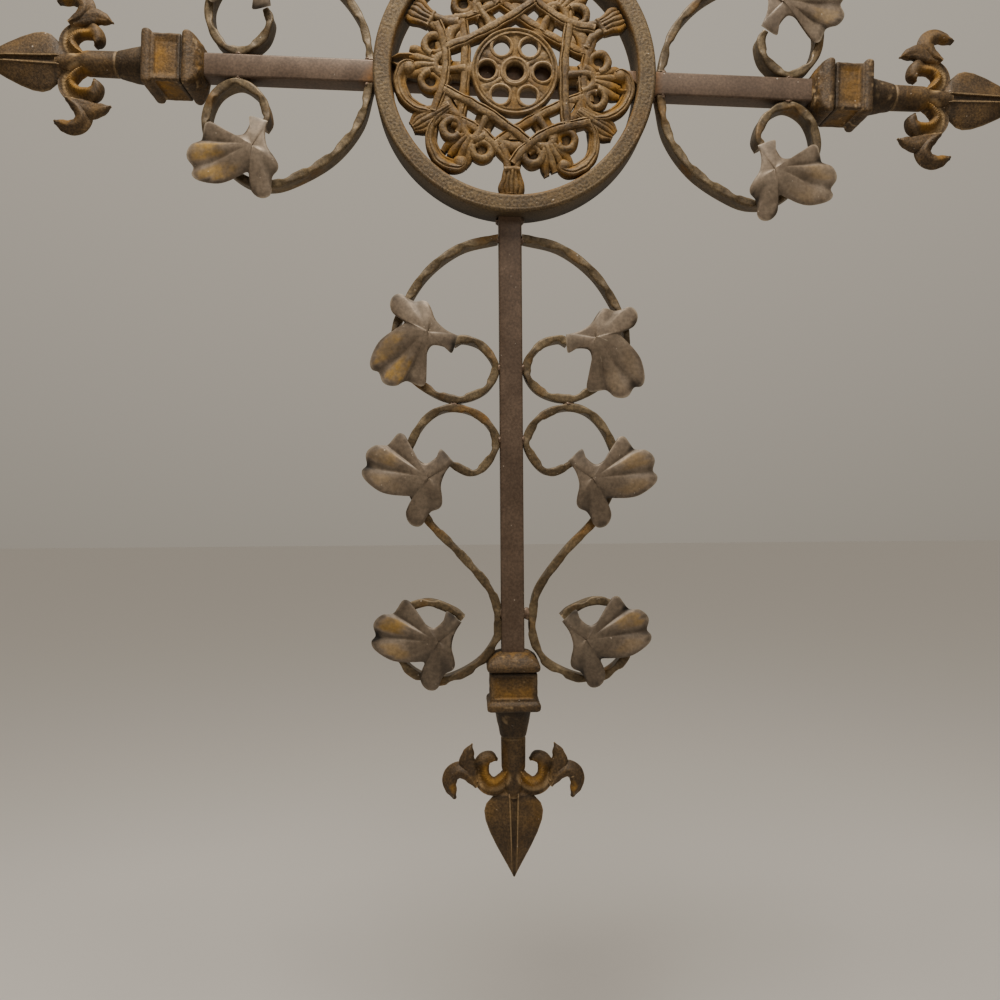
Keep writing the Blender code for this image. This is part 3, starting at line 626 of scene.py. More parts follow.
# %% Outline and relief of a leaf
LEAF_SIZE = 43.6 * MM
LEAF_FORK = Vector((0.33, -0.06))
LEAF_OUTLINE = [(-0.045, -0.08), (0.10, -0.12), (0.215, -0.19), (0.275, -0.255), (0.32, -0.34), (0.38, -0.425),
                (0.45, -0.45), (0.545, -0.425), (0.64, -0.45), (0.72, -0.49), (0.79, -0.485), (0.845, -0.425),
                (0.855, -0.34), (0.815, -0.25), (0.73, -0.19), (0.64, -0.135), (0.73, -0.05), (0.835, 0.04),
                (0.925, 0.15), (0.98, 0.30), (0.995, 0.43), (0.955, 0.505), (0.87, 0.525), (0.81, 0.63),
                (0.73, 0.67), (0.625, 0.66), (0.555, 0.605), (0.505, 0.58), (0.43, 0.595), (0.325, 0.62),
                (0.275, 0.59), (0.262, 0.53), (0.285, 0.43), (0.298, 0.31), (0.294, 0.19), (0.255, 0.11),
                (0.185, 0.09), (0.08, 0.10), (-0.01, 0.145)]
# Numbers of the outline points where a groove or an edge of the flutes lies
LEAF_GROOVES = [-0.5, 7.0, 15.0, 22.0, 26.8, 32.5, 38.5]
LEAF_STEPS = 4
LEAF_RINGS = 22
SHEET = 1.0 * MM


def across_flute(number):
    """How far across its flute a place on the outline lies, from 0 at one groove to 1 at the next."""
    for low, high in zip(LEAF_GROOVES, LEAF_GROOVES[1:]):
        if low <= number <= high:
            return (number - low) / (high - low)
    return 0.5


def leaf_relief(number, share, away):
    """Height over the rim: at a place on the outline, a share of the way to it, away from the fork."""
    flute = math.sin(math.pi * across_flute(number)) ** 0.65
    stem = 1 - step(2.0, 5.0, number) + step(33.5, 36.0, number)
    broad = step(12.0, 16.0, number)
    fall = 1 - step(0.02, 0.62, away)
    depth = (1.0 + 0.9 * broad) * (1 - 0.8 * stem) * step(0.12, 0.46, away) * (1 - 0.2 * step(0.7, 1.0, share))
    rim = 0.8 * step(0.88, 1.0, share) * (1 - 0.7 * stem)
    crest = 4.1 + 0.6 * broad - 0.9 * stem
    return MM * (crest * fall + 1.7 + depth * (flute - 1) - rim)


print("outline points:", len(LEAF_OUTLINE), "flutes:", len(LEAF_GROOVES) - 1)


# %% Press a leaf
def make_leaf(name, tip, turn, slide, flip, limb, side, ochre, seed, extra_painted_shade=0.0):
    points = [Vector(point) for point in LEAF_OUTLINE]
    loop = smooth_line([*points, points[0]], LEAF_STEPS)[:-1]
    count = len(loop)

    def place(i, j):
        edge = loop[j % count]
        share = min(i, 2 * LEAF_RINGS - i) / LEAF_RINGS
        number = (j % count) / LEAF_STEPS
        spot = LEAF_FORK.lerp(edge, share ** 0.9)
        height = leaf_relief(number, share, (spot - LEAF_FORK).length) - (SHEET if i > LEAF_RINGS else 0.0)
        height += 0.3 * MM * noise.noise(Vector((spot.x * 5, spot.y * 5, seed)))
        return Vector((spot.x * LEAF_SIZE, -height, -spot.y * LEAF_SIZE))

    def paint(i, j):
        share = min(i, 2 * LEAF_RINGS - i) / LEAF_RINGS
        number = (j % count) / LEAF_STEPS
        ragged = 0.10 * noise.noise(Vector((number * 1.7, share * 1.2, seed)))
        upper = step(20.6, 22.6, number) * (1 - step(25.0, 26.6, number))
        lower = 0.6 * step(16.0, 18.5, number) * (1 - step(20.0, 21.6, number))
        reach = step(0.38, 0.66, share + ragged) * (1 - step(0.86, 0.98, share + ragged))
        # Darker in patches along the rim.
        dark_rim = step(0.80, 0.98, share + 1.5 * ragged)
        dark_rim *= step(-0.2, 0.4, noise.noise(Vector((number * 0.35, 2.0, seed))))
        flute = across_flute(number)
        # Painted shade along the grooves between flutes, which also keeps the ochre off them.
        painted_crease_shade = (1 - step(0.0, 0.22, min(flute, 1 - flute))) * step(0.32, 0.65, share)
        return ochre * (upper + lower) * reach * (1 - painted_crease_shade) - 0.65 * dark_rim - 0.32 * painted_crease_shade - extra_painted_shade

    bm = bent_grid(2 * LEAF_RINGS, count, place, paint)
    bmesh.ops.remove_doubles(bm, verts=bm.verts, dist=0.002 * MM)
    for _ in range(7):
        bmesh.ops.smooth_vert(bm, verts=bm.verts, factor=0.5, use_axis_y=True)
    if flip:
        bmesh.ops.scale(bm, vec=(1, 1, -1), verts=bm.verts)
    bmesh.ops.transform(bm, matrix=turned(turn), verts=bm.verts)
    back = max(vert.co.y for vert in bm.verts)
    bmesh.ops.translate(bm, vec=(tip.x + slide, STRIP_FRONT - GAP - back, tip.y), verts=bm.verts)
    settle(bm, limb, side)
    return close_piece(name + "_sheet", bm, leaf_skin, (name,), 60.0)


C_LEAVES = [("foot", 1, 4, 0.0, 0.1), ("foot", -1, -9, 0.0, 1.0), ("left", 1, 24, 0.0, 1.0),
            ("left", -1, 23, 0.0, 0.4), ("right", 1, 38, 0.0, 0.3), ("right", -1, 30, 2.0 * MM, 0.2),
            ("top", 1, 24, 0.0, 0.3), ("top", -1, 24, 0.0, 0.4)]
S_LEAVES = [(1, (40, -3.0 * MM, 0.35), (40, 3.0 * MM, 0.7)), (-1, (35, -2.0 * MM, 0.4), (42, 4.5 * MM, 1.0))]
# Painted shade: the leaves at the lower ends of the S-scrolls are darkened more than the upper ones.
S_PAINTED_SHADE = {"upper": 0.06, "lower": 0.26}
for seed, (limb, side, turn, slide, ochre) in enumerate(C_LEAVES):
    make_leaf(SIDE_NAMES[limb, side] + "_leaf", c_line(limb)[-1], turn, slide, False, limb, side, ochre, seed)
for side, upper, lower in S_LEAVES:
    line = s_line(side)
    label = SIDE_NAMES["foot", side]
    for end, tip, (turn, slide, ochre) in (("upper", line[0], upper), ("lower", line[-1], lower)):
        make_leaf(f"{label}_s_{end}_leaf", tip, turn, slide, True, "foot", side, ochre, 20 + side, S_PAINTED_SHADE[end])
print("leaves:", len(C_LEAVES) + 2 * len(S_LEAVES))

# %% [markdown]
# ## The medallion's ring
#
# The ring is one casting with the work inside it. Its section is drawn once and spun a full turn.
# A row of small rings, hardly higher than the sand's grain, runs round the face, and each of the
# face's points is raised by its place in that row. The back is let in over the cross bar.

# %% Spin the ring
BEAD_ROW = 73.0 * MM
BEADS = 112
BEAD_RADIUS = 1.35 * MM


def bead_relief(radius, angle):
    share = (angle / math.tau * BEADS) % 1.0 - 0.5
    across = share * math.tau * BEAD_ROW / BEADS
    distance = math.hypot(across, radius - BEAD_ROW)
    return 0.17 * MM * (1 - step(0.0, 0.75 * MM, abs(distance - BEAD_RADIUS)))


def ring_rust(point):
    spot = FROM_CROSSING @ point
    radius = math.hypot(spot.x, spot.z)
    inside = 1 - step(RING_BORE + 0.2 * MM, RING_BORE + 1.1 * MM, radius)
    front = 1 - step(-RING_DEPTH + 1.2 * MM, -RING_DEPTH + 4.0 * MM, spot.y)
    painted_shade_outside = step(RING_RADIUS - 0.3 * MM, RING_RADIUS, radius) * (1 - front)
    golden = 0.85 * inside * (0.35 + 0.65 * step(-0.2, 0.3, noise.noise(point * 70)))
    # Golden rust on the bore's wall near the face. Painted shade darkens the bore deeper in and the ring's whole outer
    # side.
    return golden * front + 0.2 * inside - 0.55 * inside * (1 - front) - painted_shade_outside + 0.12 * step(
        0.2, 0.5, noise.noise(point * 45))


def make_ring():
    bm = bmesh.new()
    face = -RING_DEPTH
    section = [(RING_BORE, -8.0 * MM), (RING_BORE, 0), (RING_RADIUS, 0), (RING_RADIUS, face + 2.2 * MM),
               (RING_RADIUS - 0.25 * MM, face + 1.2 * MM), (RING_RADIUS - 0.9 * MM, face + 0.45 * MM),
               (RING_RADIUS - 1.8 * MM, face + 0.1 * MM)]
    for number in range(11):
        section.append((75.4 * MM - 0.55 * MM * number, face + 0.02 * MM))
    section += [(RING_BORE + 1.6 * MM, face + 0.08 * MM), (RING_BORE + 0.7 * MM, face + 0.45 * MM),
                (RING_BORE + 0.15 * MM, face + 1.3 * MM), (RING_BORE, face + 2.4 * MM)]
    verts = [bm.verts.new((radius, y, 0)) for radius, y in section]
    edges = [bm.edges.new(pair) for pair in zip(verts, [*verts[1:], verts[0]])]
    bmesh.ops.spin(bm, geom=[*verts, *edges], cent=(0, 0, 0), axis=(0, 1, 0), angle=math.tau,
                   steps=896, use_merge=True)
    for vert in bm.verts:
        radius = math.hypot(vert.co.x, vert.co.z)
        if abs(vert.co.z) < BAR / 2 + GAP and vert.co.y > -BAR:
            vert.co.y = -BAR - GAP
        if vert.co.y < face + 0.05 * MM:
            vert.co.y -= bead_relief(radius, math.atan2(vert.co.z, vert.co.x)) - 0.16 * MM
    bmesh.ops.transform(bm, matrix=HEAD, verts=bm.verts)
    return close_piece("medallion_ring", bm, ring_skin, ("medallion",), 50.0, ring_rust)


ring = make_ring()
print("ring points:", len(ring.data.vertices))

# %% [markdown]
# ## The openwork
#
# Inside the ring is a woven hexagon of double straps with a pierced hub, tassels and lilies at its
# corners and leaves between pairs of volutes on its sides. In the mould these were carved strips,
# so each is a rod with a rounded section along a smooth line. Distances are shares of the ring's
# bore, one motif is drawn pointing right, and copies are turned round the hub.

# %% Straps and ribs of the openwork
def work_line(points, spacing=1.0 * MM):
    line = [Vector((along * RING_BORE, across * RING_BORE)) for along, across in points]
    return even_line(smooth_line(line, 10), spacing)


# Section of a cast member: share of the half width, share of the way down, from side to side
ROUND_FACE = [(-1, 1), (-1, 0.45), (-0.96, 0.26), (-0.84, 0.12), (-0.62, 0.04), (-0.3, 0), (0, -0.02), (0.3, 0),
              (0.62, 0.04), (0.84, 0.12), (0.96, 0.26), (1, 0.45), (1, 1)]


# An arm has three fine ridges
FLUTED_FACE = [(-1, 1), (-1, 0.45), (-0.94, 0.22), (-0.8, 0.08), (-0.66, 0.04), (-0.52, 0.12), (-0.4, 0.12), (-0.24, 0.02),
               (0, -0.02), (0.24, 0.02), (0.4, 0.12), (0.52, 0.12), (0.66, 0.04), (0.8, 0.08), (0.94, 0.22), (1, 0.45),
               (1, 1)]
# A dished leaf between two raised rims
DISH_FACE = [(-1, 1), (-1, 0.35), (-0.9, 0.12), (-0.75, 0.05), (-0.6, 0.2), (-0.3, 0.42), (0, 0.48), (0.3, 0.42),
             (0.6, 0.2), (0.75, 0.05), (0.9, 0.12), (1, 0.35), (1, 1)]
# A strap has a flat band and a fine strand along its inner edge
STRAP_FACE = [(-1, 1), (-1, 0.30), (-0.94, 0.13), (-0.82, 0.05), (-0.5, 0), (-0.1, 0.01), (0.18, 0), (0.34, 0.05),
              (0.40, 0.16), (0.46, 0.17), (0.52, 0.08), (0.66, 0.03), (0.82, 0.06), (0.95, 0.18), (1, 0.35), (1, 1)]


def moulding(bm, points, widths, front, face=ROUND_FACE, back=WORK_BACK, spacing=1.0 * MM, fall=0.0, scoop=0.0):
    """A cast member: flat back, shaped face, widths as shares of the bore at even steps.

    Fall lowers the face towards the far end. Scoop sinks one side of the face.
    """
    line = work_line(points, spacing)
    count = len(line) - 1

    def section_at(index):
        share = index / count
        half = RING_BORE * widths_at(widths, share) / 2
        top = front + fall * share * share
        points = []
        for x, down in face:
            y = top + (back - top) * down
            y += scoop * step(-0.5, 0.8, x if scoop > 0 else -x) * (1 - down) * (1 if scoop > 0 else -1)
            points.append((x * half, y))
        return points

    rod(bm, stations_on(line, 0.0), section_at)


def widths_at(widths, share):
    spot = share * (len(widths) - 1)
    low = min(int(spot), len(widths) - 2)
    return widths[low] + (widths[low + 1] - widths[low]) * step(0, 1, spot - low)


def around(bm, motif, angles):
    for number, angle in enumerate(angles):
        part = bmesh.new()
        motif(part, number)
        bmesh.ops.transform(part, matrix=turned(-angle), verts=part.verts)
        mesh = bpy.data.meshes.new("motif")
        part.to_mesh(mesh)
        part.free()
        bm.from_mesh(mesh)
        bpy.data.meshes.remove(mesh)


SIDES = [0, 60, 120, 180, 240, 300]
CURL_SIDES = [angle - 3.7 for angle in SIDES]
TASSELS = [30, 150, 270]
LILIES = [90, 210, 330]
STRAP = 0.080


def strap_pair(bm, number):
    """Inner and outer strap of one side. Every other side lies a little lower, as if woven."""
    low = 0.9 * MM * (number % 2)
    moulding(bm, [(0.430, -0.41), (0.405, -0.2), (0.398, 0), (0.405, 0.2), (0.430, 0.43)], [STRAP] * 3,
             WORK_FRONT + 0.1 * MM + low, STRAP_FACE)
    moulding(bm, [(0.640, -0.37), (0.585, -0.24), (0.560, -0.12), (0.556, 0), (0.572, 0.12), (0.605, 0.24),
                  (0.640, 0.35)], [STRAP] * 3, WORK_FRONT + 0.9 * MM - low, STRAP_FACE)
    moulding(bm, [(0.40, -0.01), (0.48, 0.0), (0.62, 0.01)], [0.075, 0.06, 0.075], WORK_FRONT + 0.6 * MM)
    moulding(bm, [(0.42, 0), (0.56, 0)], [0.17, 0.15], WORK_FRONT + 2.8 * MM)


def hub_web(bm, number):
    moulding(bm, [(0.31, 0), (0.41, 0)], [0.16, 0.12], WORK_FRONT + 1.2 * MM)


def corner_web(bm, number):
    """Short bridges between the two straps at a corner leave two round openings."""
    moulding(bm, [(0.43, 0), (0.55, 0)], [0.14, 0.10], WORK_FRONT + 1.2 * MM)
    moulding(bm, [(0.56, -0.13), (0.61, 0), (0.56, 0.13)], [0.075, 0.10, 0.075], WORK_FRONT + 1.0 * MM)
    for bend in (-1, 1):
        moulding(bm, [(0.48, 0.235 * bend), (0.56, 0.215 * bend), (0.64, 0.12 * bend)], [0.10, 0.09, 0.08],
                 WORK_FRONT + 1.4 * MM)


def side_leaf(bm, number):
    """Ridges fanned over a deep pit, blackened with painted shade, between the two volutes. The arms' leaves reach the
    ring.
    """
    for bend in (-1.15, -0.4, 0.4, 1.15):
        moulding(bm, [(0.655, 0.035 * bend), (0.73, 0.058 * bend), (0.80, 0.088 * bend), (0.865, 0.092 * bend)],
                 [0.050, 0.060, 0.070, 0.050], WORK_FRONT + 0.3 * MM + 0.5 * MM * abs(bend), spacing=0.6 * MM,
                 fall=1.7 * MM)
    moulding(bm, [(0.62, 0), (0.74, 0), (0.84, 0)], [0.16, 0.24, 0.26], WORK_FRONT + 3.4 * MM)
    if number % 3 == 0:
        moulding(bm, [(0.80, 0), (0.87, 0), (0.95, 0), (1.005, 0)], [0.10, 0.15, 0.13, 0.05],
                 WORK_FRONT + 1.2 * MM, DISH_FACE, spacing=0.6 * MM, fall=0.8 * MM)


def volute(bm, bend, lift):
    """A rolled ribbon: it starts on the leaf, turns once and ends in a round pit."""
    points = []
    for turn in range(0, 13):
        angle = math.radians(-80 + 30 * turn)
        radius = 0.083 - 0.0020 * turn
        points.append((0.668 + radius * math.cos(angle), bend * (0.150 + radius * math.sin(angle))))
    moulding(bm, points, [0.066, 0.064, 0.060, 0.052], WORK_FRONT + lift, spacing=0.5 * MM, fall=1.2 * MM)
    pit = bmesh.new()
    radius = 0.098 * RING_BORE
    bmesh.ops.create_uvsphere(pit, u_segments=24, v_segments=12, radius=1.0)
    bmesh.ops.scale(pit, vec=(radius, 1.6 * MM, radius), verts=pit.verts)
    centre = Vector((0.668 * RING_BORE, WORK_BACK - 1.6 * MM, bend * 0.150 * RING_BORE))
    pour(bm, pit, Matrix.Translation(centre))


def side_volutes(bm, number):
    volute(bm, 1, 0.5 * MM)
    volute(bm, -1, 0.1 * MM)
    moulding(bm, [(0.56, -0.10), (0.62, -0.065), (0.655, 0.0), (0.62, 0.065), (0.56, 0.10)], [0.07, 0.075, 0.07],
             WORK_FRONT + 0.7 * MM, spacing=0.7 * MM)


def tassel(bm, number):
    """A bound sheaf: the straps' ends under a fine collar, then a ribbed skirt."""
    for bend in (-1, 1):
        moulding(bm, [(0.60, 0.10 * bend), (0.68, 0.050 * bend), (0.79, 0.034 * bend)], [0.078, 0.074, 0.062],
                 WORK_FRONT + 0.5 * MM)
    moulding(bm, [(0.795, -0.062), (0.79, 0), (0.795, 0.062)], [0.045, 0.05, 0.045], WORK_FRONT + 0.0 * MM)
    for rib in range(-2, 3):
        start = rib * 0.026
        middle = rib * 0.041
        end = rib * 0.036
        moulding(bm, [(0.80, start), (0.86, start * 1.2), (0.93, middle), (0.985, end)],
                 [0.036, 0.044, 0.054, 0.044], WORK_FRONT + 0.1 * MM + 0.45 * MM * abs(rib), fall=1.6 * MM,
                 spacing=0.7 * MM)


def lily(bm, number):
    """Ribbed stem and two arms that hug the ring and end in a round curl."""
    for rib in range(-2, 3):
        moulding(bm, [(0.60, 0.016 * rib), (0.70, 0.024 * rib), (0.80, 0.035 * rib), (0.88, 0.035 * rib),
                      (0.945, 0.018 * rib)], [0.040, 0.046, 0.054, 0.050, 0.030],
                 WORK_FRONT + 0.1 * MM + 0.4 * MM * abs(rib), fall=1.6 * MM, spacing=0.7 * MM)
    for bend in (-1, 1):
        points = []
        for turn, radius in ((2.5, 0.74), (7.5, 0.83), (14, 0.905), (21.5, 0.935), (27.5, 0.915), (31.5, 0.872),
                             (31.0, 0.825)):
            angle = math.radians(bend * turn)
            points.append((radius * math.cos(angle), radius * math.sin(angle)))
        moulding(bm, points, [0.06, 0.09, 0.100, 0.105, 0.110, 0.115, 0.07], WORK_FRONT + 0.3 * MM,
                 FLUTED_FACE, spacing=0.6 * MM, scoop=2.0 * MM * bend)
        ball = bmesh.new()
        bmesh.ops.create_icosphere(ball, subdivisions=3, radius=0.066 * RING_BORE)
        bmesh.ops.scale(ball, vec=(1, 0.9, 1), verts=ball.verts)
        angle = math.radians(30.5 * bend)
        pour(bm, ball, Matrix.Translation((0.857 * RING_BORE * math.cos(angle), WORK_FRONT + 4.2 * MM,
                                           0.857 * RING_BORE * math.sin(angle))))


def work_rust(point):
    down = (FROM_CROSSING @ point).y - WORK_FRONT
    golden = step(0.6 * MM, 2.0 * MM, down) * (0.45 + 0.55 * step(-0.25, 0.25, noise.noise(point * 110)))
    # Golden rust on the sides just below the face. Deeper in, painted shade takes the colour towards black.
    painted_recess_shade = step(2.6 * MM, 4.8 * MM, down)
    return 0.9 * golden * (1 - painted_recess_shade) - 0.8 * painted_recess_shade + 0.25 * step(0.0, 0.45, noise.noise(point * 70)) * (1 - painted_recess_shade)


def make_openwork():
    bm = bmesh.new()
    for motif, angles in ((strap_pair, SIDES), (hub_web, SIDES), (corner_web, TASSELS + LILIES),
                          (side_leaf, CURL_SIDES), (side_volutes, CURL_SIDES), (tassel, TASSELS),
                          (lily, LILIES)):
        around(bm, motif, angles)
    for vert in bm.verts:
        swell = Vector((noise.noise(vert.co * 190), 0.8 * noise.noise(vert.co * 190 + Vector((9, 0, 0))),
                        noise.noise(vert.co * 190 + Vector((0, 7, 0)))))
        vert.co += 0.50 * MM * swell
    bmesh.ops.transform(bm, matrix=HEAD, verts=bm.verts)
    return close_piece("medallion_openwork", bm, cast_skin, ("medallion",), 45.0, work_rust)


openwork = make_openwork()
print("openwork triangles:", sum(len(face.vertices) - 2 for face in openwork.data.polygons))

# %% [markdown]
# ## The hub
#
# The hub is a disc pierced by six round holes with a seventh in a raised collar. The disc's section
# is spun, the holes are cut with a Boolean whose result is kept as the mesh, and thin raised rims
# are laid round each hole.

# %% Make the hub
HUB = 0.352
EYES = [(0.0, 0.0, 0.074)]
for number in range(6):
    EYES.append((0.226 * math.cos(math.radians(60 * number)), 0.226 * math.sin(math.radians(60 * number)), 0.070))


def rim(bm, centre, radius, tube, y):
    """A fine raised ring."""
    ring_bm = bmesh.new()
    bmesh.ops.create_circle(ring_bm, cap_ends=False, segments=8, radius=tube,
                            matrix=Matrix.Translation((radius, 0, 0)))
    bmesh.ops.spin(ring_bm, geom=[*ring_bm.verts, *ring_bm.edges], cent=(0, 0, 0), axis=(0, 1, 0),
                   angle=math.tau, steps=48, use_merge=True)
    pour(bm, ring_bm, Matrix.Translation((centre[0], y, centre[1])))


def make_hub():
    disc = bmesh.new()
    radius = HUB * RING_BORE
    face = WORK_FRONT + 1.6 * MM
    section = [(0, WORK_BACK), (radius, WORK_BACK), (radius, WORK_FRONT + 1.2 * MM),
               (radius - 0.25 * MM, WORK_FRONT + 0.5 * MM), (radius - 0.8 * MM, WORK_FRONT + 0.1 * MM),
               (radius - 1.5 * MM, WORK_FRONT + 0.3 * MM), (radius - 2.0 * MM, WORK_FRONT + 0.9 * MM),
               (radius - 2.5 * MM, WORK_FRONT + 0.5 * MM), (radius - 3.2 * MM, WORK_FRONT + 0.5 * MM),
               (radius - 3.8 * MM, face), (0, face)]
    verts = [disc.verts.new((r, y, 0)) for r, y in section]
    edges = [disc.edges.new(pair) for pair in zip(verts, verts[1:])]
    bmesh.ops.spin(disc, geom=[*verts, *edges], cent=(0, 0, 0), axis=(0, 1, 0), angle=math.tau, steps=96,
                   use_merge=True)
    bmesh.ops.remove_doubles(disc, verts=disc.verts, dist=0.01 * MM)
    bmesh.ops.recalc_face_normals(disc, faces=disc.faces)
    cutter = bmesh.new()
    for across, up, eye in EYES:
        place = Matrix.Translation((across * RING_BORE, WORK_FRONT, up * RING_BORE)) @ Matrix.Rotation(math.pi / 2, 4, "X")
        bmesh.ops.create_cone(cutter, cap_ends=True, segments=40, radius1=eye * RING_BORE, radius2=eye * RING_BORE,
                              depth=RING_DEPTH, matrix=place)
    shapes = []
    for name, source in (("disc", disc), ("cutter", cutter)):
        mesh = bpy.data.meshes.new(name)
        source.to_mesh(mesh)
        source.free()
        shape = bpy.data.objects.new(name, mesh)
        bpy.context.scene.collection.objects.link(shape)
        shapes.append(shape)
    cut = shapes[0].modifiers.new("holes", "BOOLEAN")
    cut.operation = "DIFFERENCE"
    cut.solver = "EXACT"
    cut.object = shapes[1]
    graph = bpy.context.evaluated_depsgraph_get()
    pierced = bpy.data.meshes.new_from_object(shapes[0].evaluated_get(graph))
    bm = bmesh.new()
    bm.from_mesh(pierced)
    for shape in shapes:
        bpy.data.objects.remove(shape, do_unlink=True)
    for across, up, eye in EYES:
        rim(bm, (across * RING_BORE, up * RING_BORE), (eye + 0.013) * RING_BORE, 1.0 * MM, face + 0.15 * MM)
    rim(bm, (0, 0), 0.103 * RING_BORE, 1.3 * MM, face + 0.1 * MM)
    ridge = bmesh.new()
    for number in range(6):
        angle = math.radians(60 * number + 30)
        moulding(ridge, [(0.12 * math.cos(angle), 0.12 * math.sin(angle)),
                         (0.31 * math.cos(angle), 0.31 * math.sin(angle))], [0.05, 0.11],
                 face - 0.25 * MM, back=WORK_BACK - 1.0 * MM)
    pour(bm, ridge)
    for vert in bm.verts:
        vert.co.y += 0.45 * MM * noise.noise(vert.co * 230)
    bmesh.ops.transform(bm, matrix=HEAD, verts=bm.verts)
    return close_piece("medallion_hub", bm, cast_skin, ("medallion",), 40.0, hub_rust)


def hub_rust(point):
    spot = FROM_CROSSING @ point
    down = spot.y - WORK_FRONT
    golden = step(1.4 * MM, 2.6 * MM, down) * (0.4 + 0.6 * step(-0.2, 0.3, noise.noise(point * 120)))
    # Golden rust a little below the face. Deeper in, painted shade takes the colour towards black.
    painted_recess_shade = step(2.8 * MM, 4.6 * MM, down)
    return golden * (1 - painted_recess_shade) - 0.7 * painted_recess_shade + 0.3 * step(0.0, 0.4, noise.noise(point * 80)) * (1 - painted_recess_shade)


hub = make_hub()
print("hub points:", len(hub.data.vertices))

# %% [markdown]
# ## The collars
#
# A square collar hides the end of each bar. Its profile has a sloping shoulder, a bead, a body
# with sunk panels and a second bead, and a round neck goes on below. The grid is rolled round a
# square with soft corners. The panels are pushed in, and the weld that holds the shoulder to the
# bar is raised with noise.

# %% Make the collars
COLLAR_BODY = 26.4 * MM
COLLAR_LENGTH = 31.7 * MM
NECK_LENGTH = 16.0 * MM
COLLAR_LIP = BAR / 2 + GAP + 1.4 * MM


def collar_profile():
    """Half width at each distance down from the top of the collar."""
    bead = COLLAR_BEAD / 2
    body = COLLAR_BODY / 2
    down = COLLAR_SHOULDER
    end = COLLAR_LENGTH
    return [(0.0, COLLAR_LIP), (0.5 * MM, COLLAR_LIP + 1.5 * MM), (1.3 * MM, COLLAR_LIP + 2.8 * MM),
            (2.4 * MM, COLLAR_LIP + 4.0 * MM), (3.6 * MM, bead - 1.7 * MM), (down - 1.0 * MM, bead - 1.1 * MM),
            (down + 0.2 * MM, bead - 0.5 * MM), (down + 1.6 * MM, bead), (down + 3.0 * MM, bead - 0.1 * MM), (down + 4.0 * MM, bead - 0.6 * MM),
            (down + 4.5 * MM, bead - 1.4 * MM), (down + 4.7 * MM, body - 1.0 * MM), (down + 5.3 * MM, body - 1.0 * MM),
            (down + 5.6 * MM, body - 0.1 * MM), (down + 6.3 * MM, body), (end - 6.0 * MM, body),
            (end - 5.4 * MM, body + 0.1 * MM), (end - 4.9 * MM, body + 0.7 * MM), (end - 4.5 * MM, bead - 0.6 * MM),
            (end - 3.6 * MM, bead - 0.1 * MM), (end - 2.6 * MM, bead), (end - 1.2 * MM, bead - 0.1 * MM),
            (end - 0.4 * MM, bead - 0.5 * MM), (end, bead - 1.2 * MM)]


def fine_profile(points, spacing):
    return even_line([Vector(point) for point in points], spacing)


def collar_rust(limb):
    back = LIMBS[limb].inverted()
    shoulder = SHOULDER[limb]

    def amount(point):
        spot = back @ point
        down = -spot.z - shoulder
        side = min(abs(spot.x), abs(spot.y - BAR_MIDDLE))
        panel = step(COLLAR_SHOULDER + 7.2 * MM, COLLAR_SHOULDER + 9.5 * MM, down)
        panel *= 1 - step(COLLAR_LENGTH - 7.6 * MM, COLLAR_LENGTH - 6.6 * MM, down)
        panel *= 1 - step(9.5 * MM, 11.2 * MM, side)
        weld = 1 - step(1.0 * MM, 4.0 * MM, down)
        low = 0.35 + 0.65 * step(COLLAR_SHOULDER + 9 * MM, COLLAR_LENGTH - 8 * MM, down + 2.0 * spot.x / 10)
        low *= 0.55 + 0.45 * step(-0.3, 0.2, noise.noise(point * 120))
        # Painted shade darkens the groove under the upper bead, and a painted shadow falls from the lower bead onto
        # the top of the neck.
        painted_shade_under_bead = step(COLLAR_SHOULDER + 4.2 * MM, COLLAR_SHOULDER + 5.0 * MM, down)
        painted_shade_under_bead *= 1 - step(COLLAR_SHOULDER + 5.6 * MM, COLLAR_SHOULDER + 7.6 * MM, down)
        under = step(COLLAR_LENGTH - 1.0 * MM, COLLAR_LENGTH + 0.4 * MM, down)
        under *= 1 - 0.6 * step(COLLAR_LENGTH + 2.0 * MM, COLLAR_LENGTH + 7.0 * MM, down)
        return (0.85 * panel * low + 0.5 * weld * step(-0.1, 0.4, noise.noise(point * 300)) - 0.6 * painted_shade_under_bead
                - 0.6 * under)

    return amount


def collar_worn(point):
    """Pale flecks where the casting is knocked."""
    return 0.9 * step(0.32, 0.55, noise.noise(point * 420)) * step(-0.1, 0.3, noise.noise(point * 60))


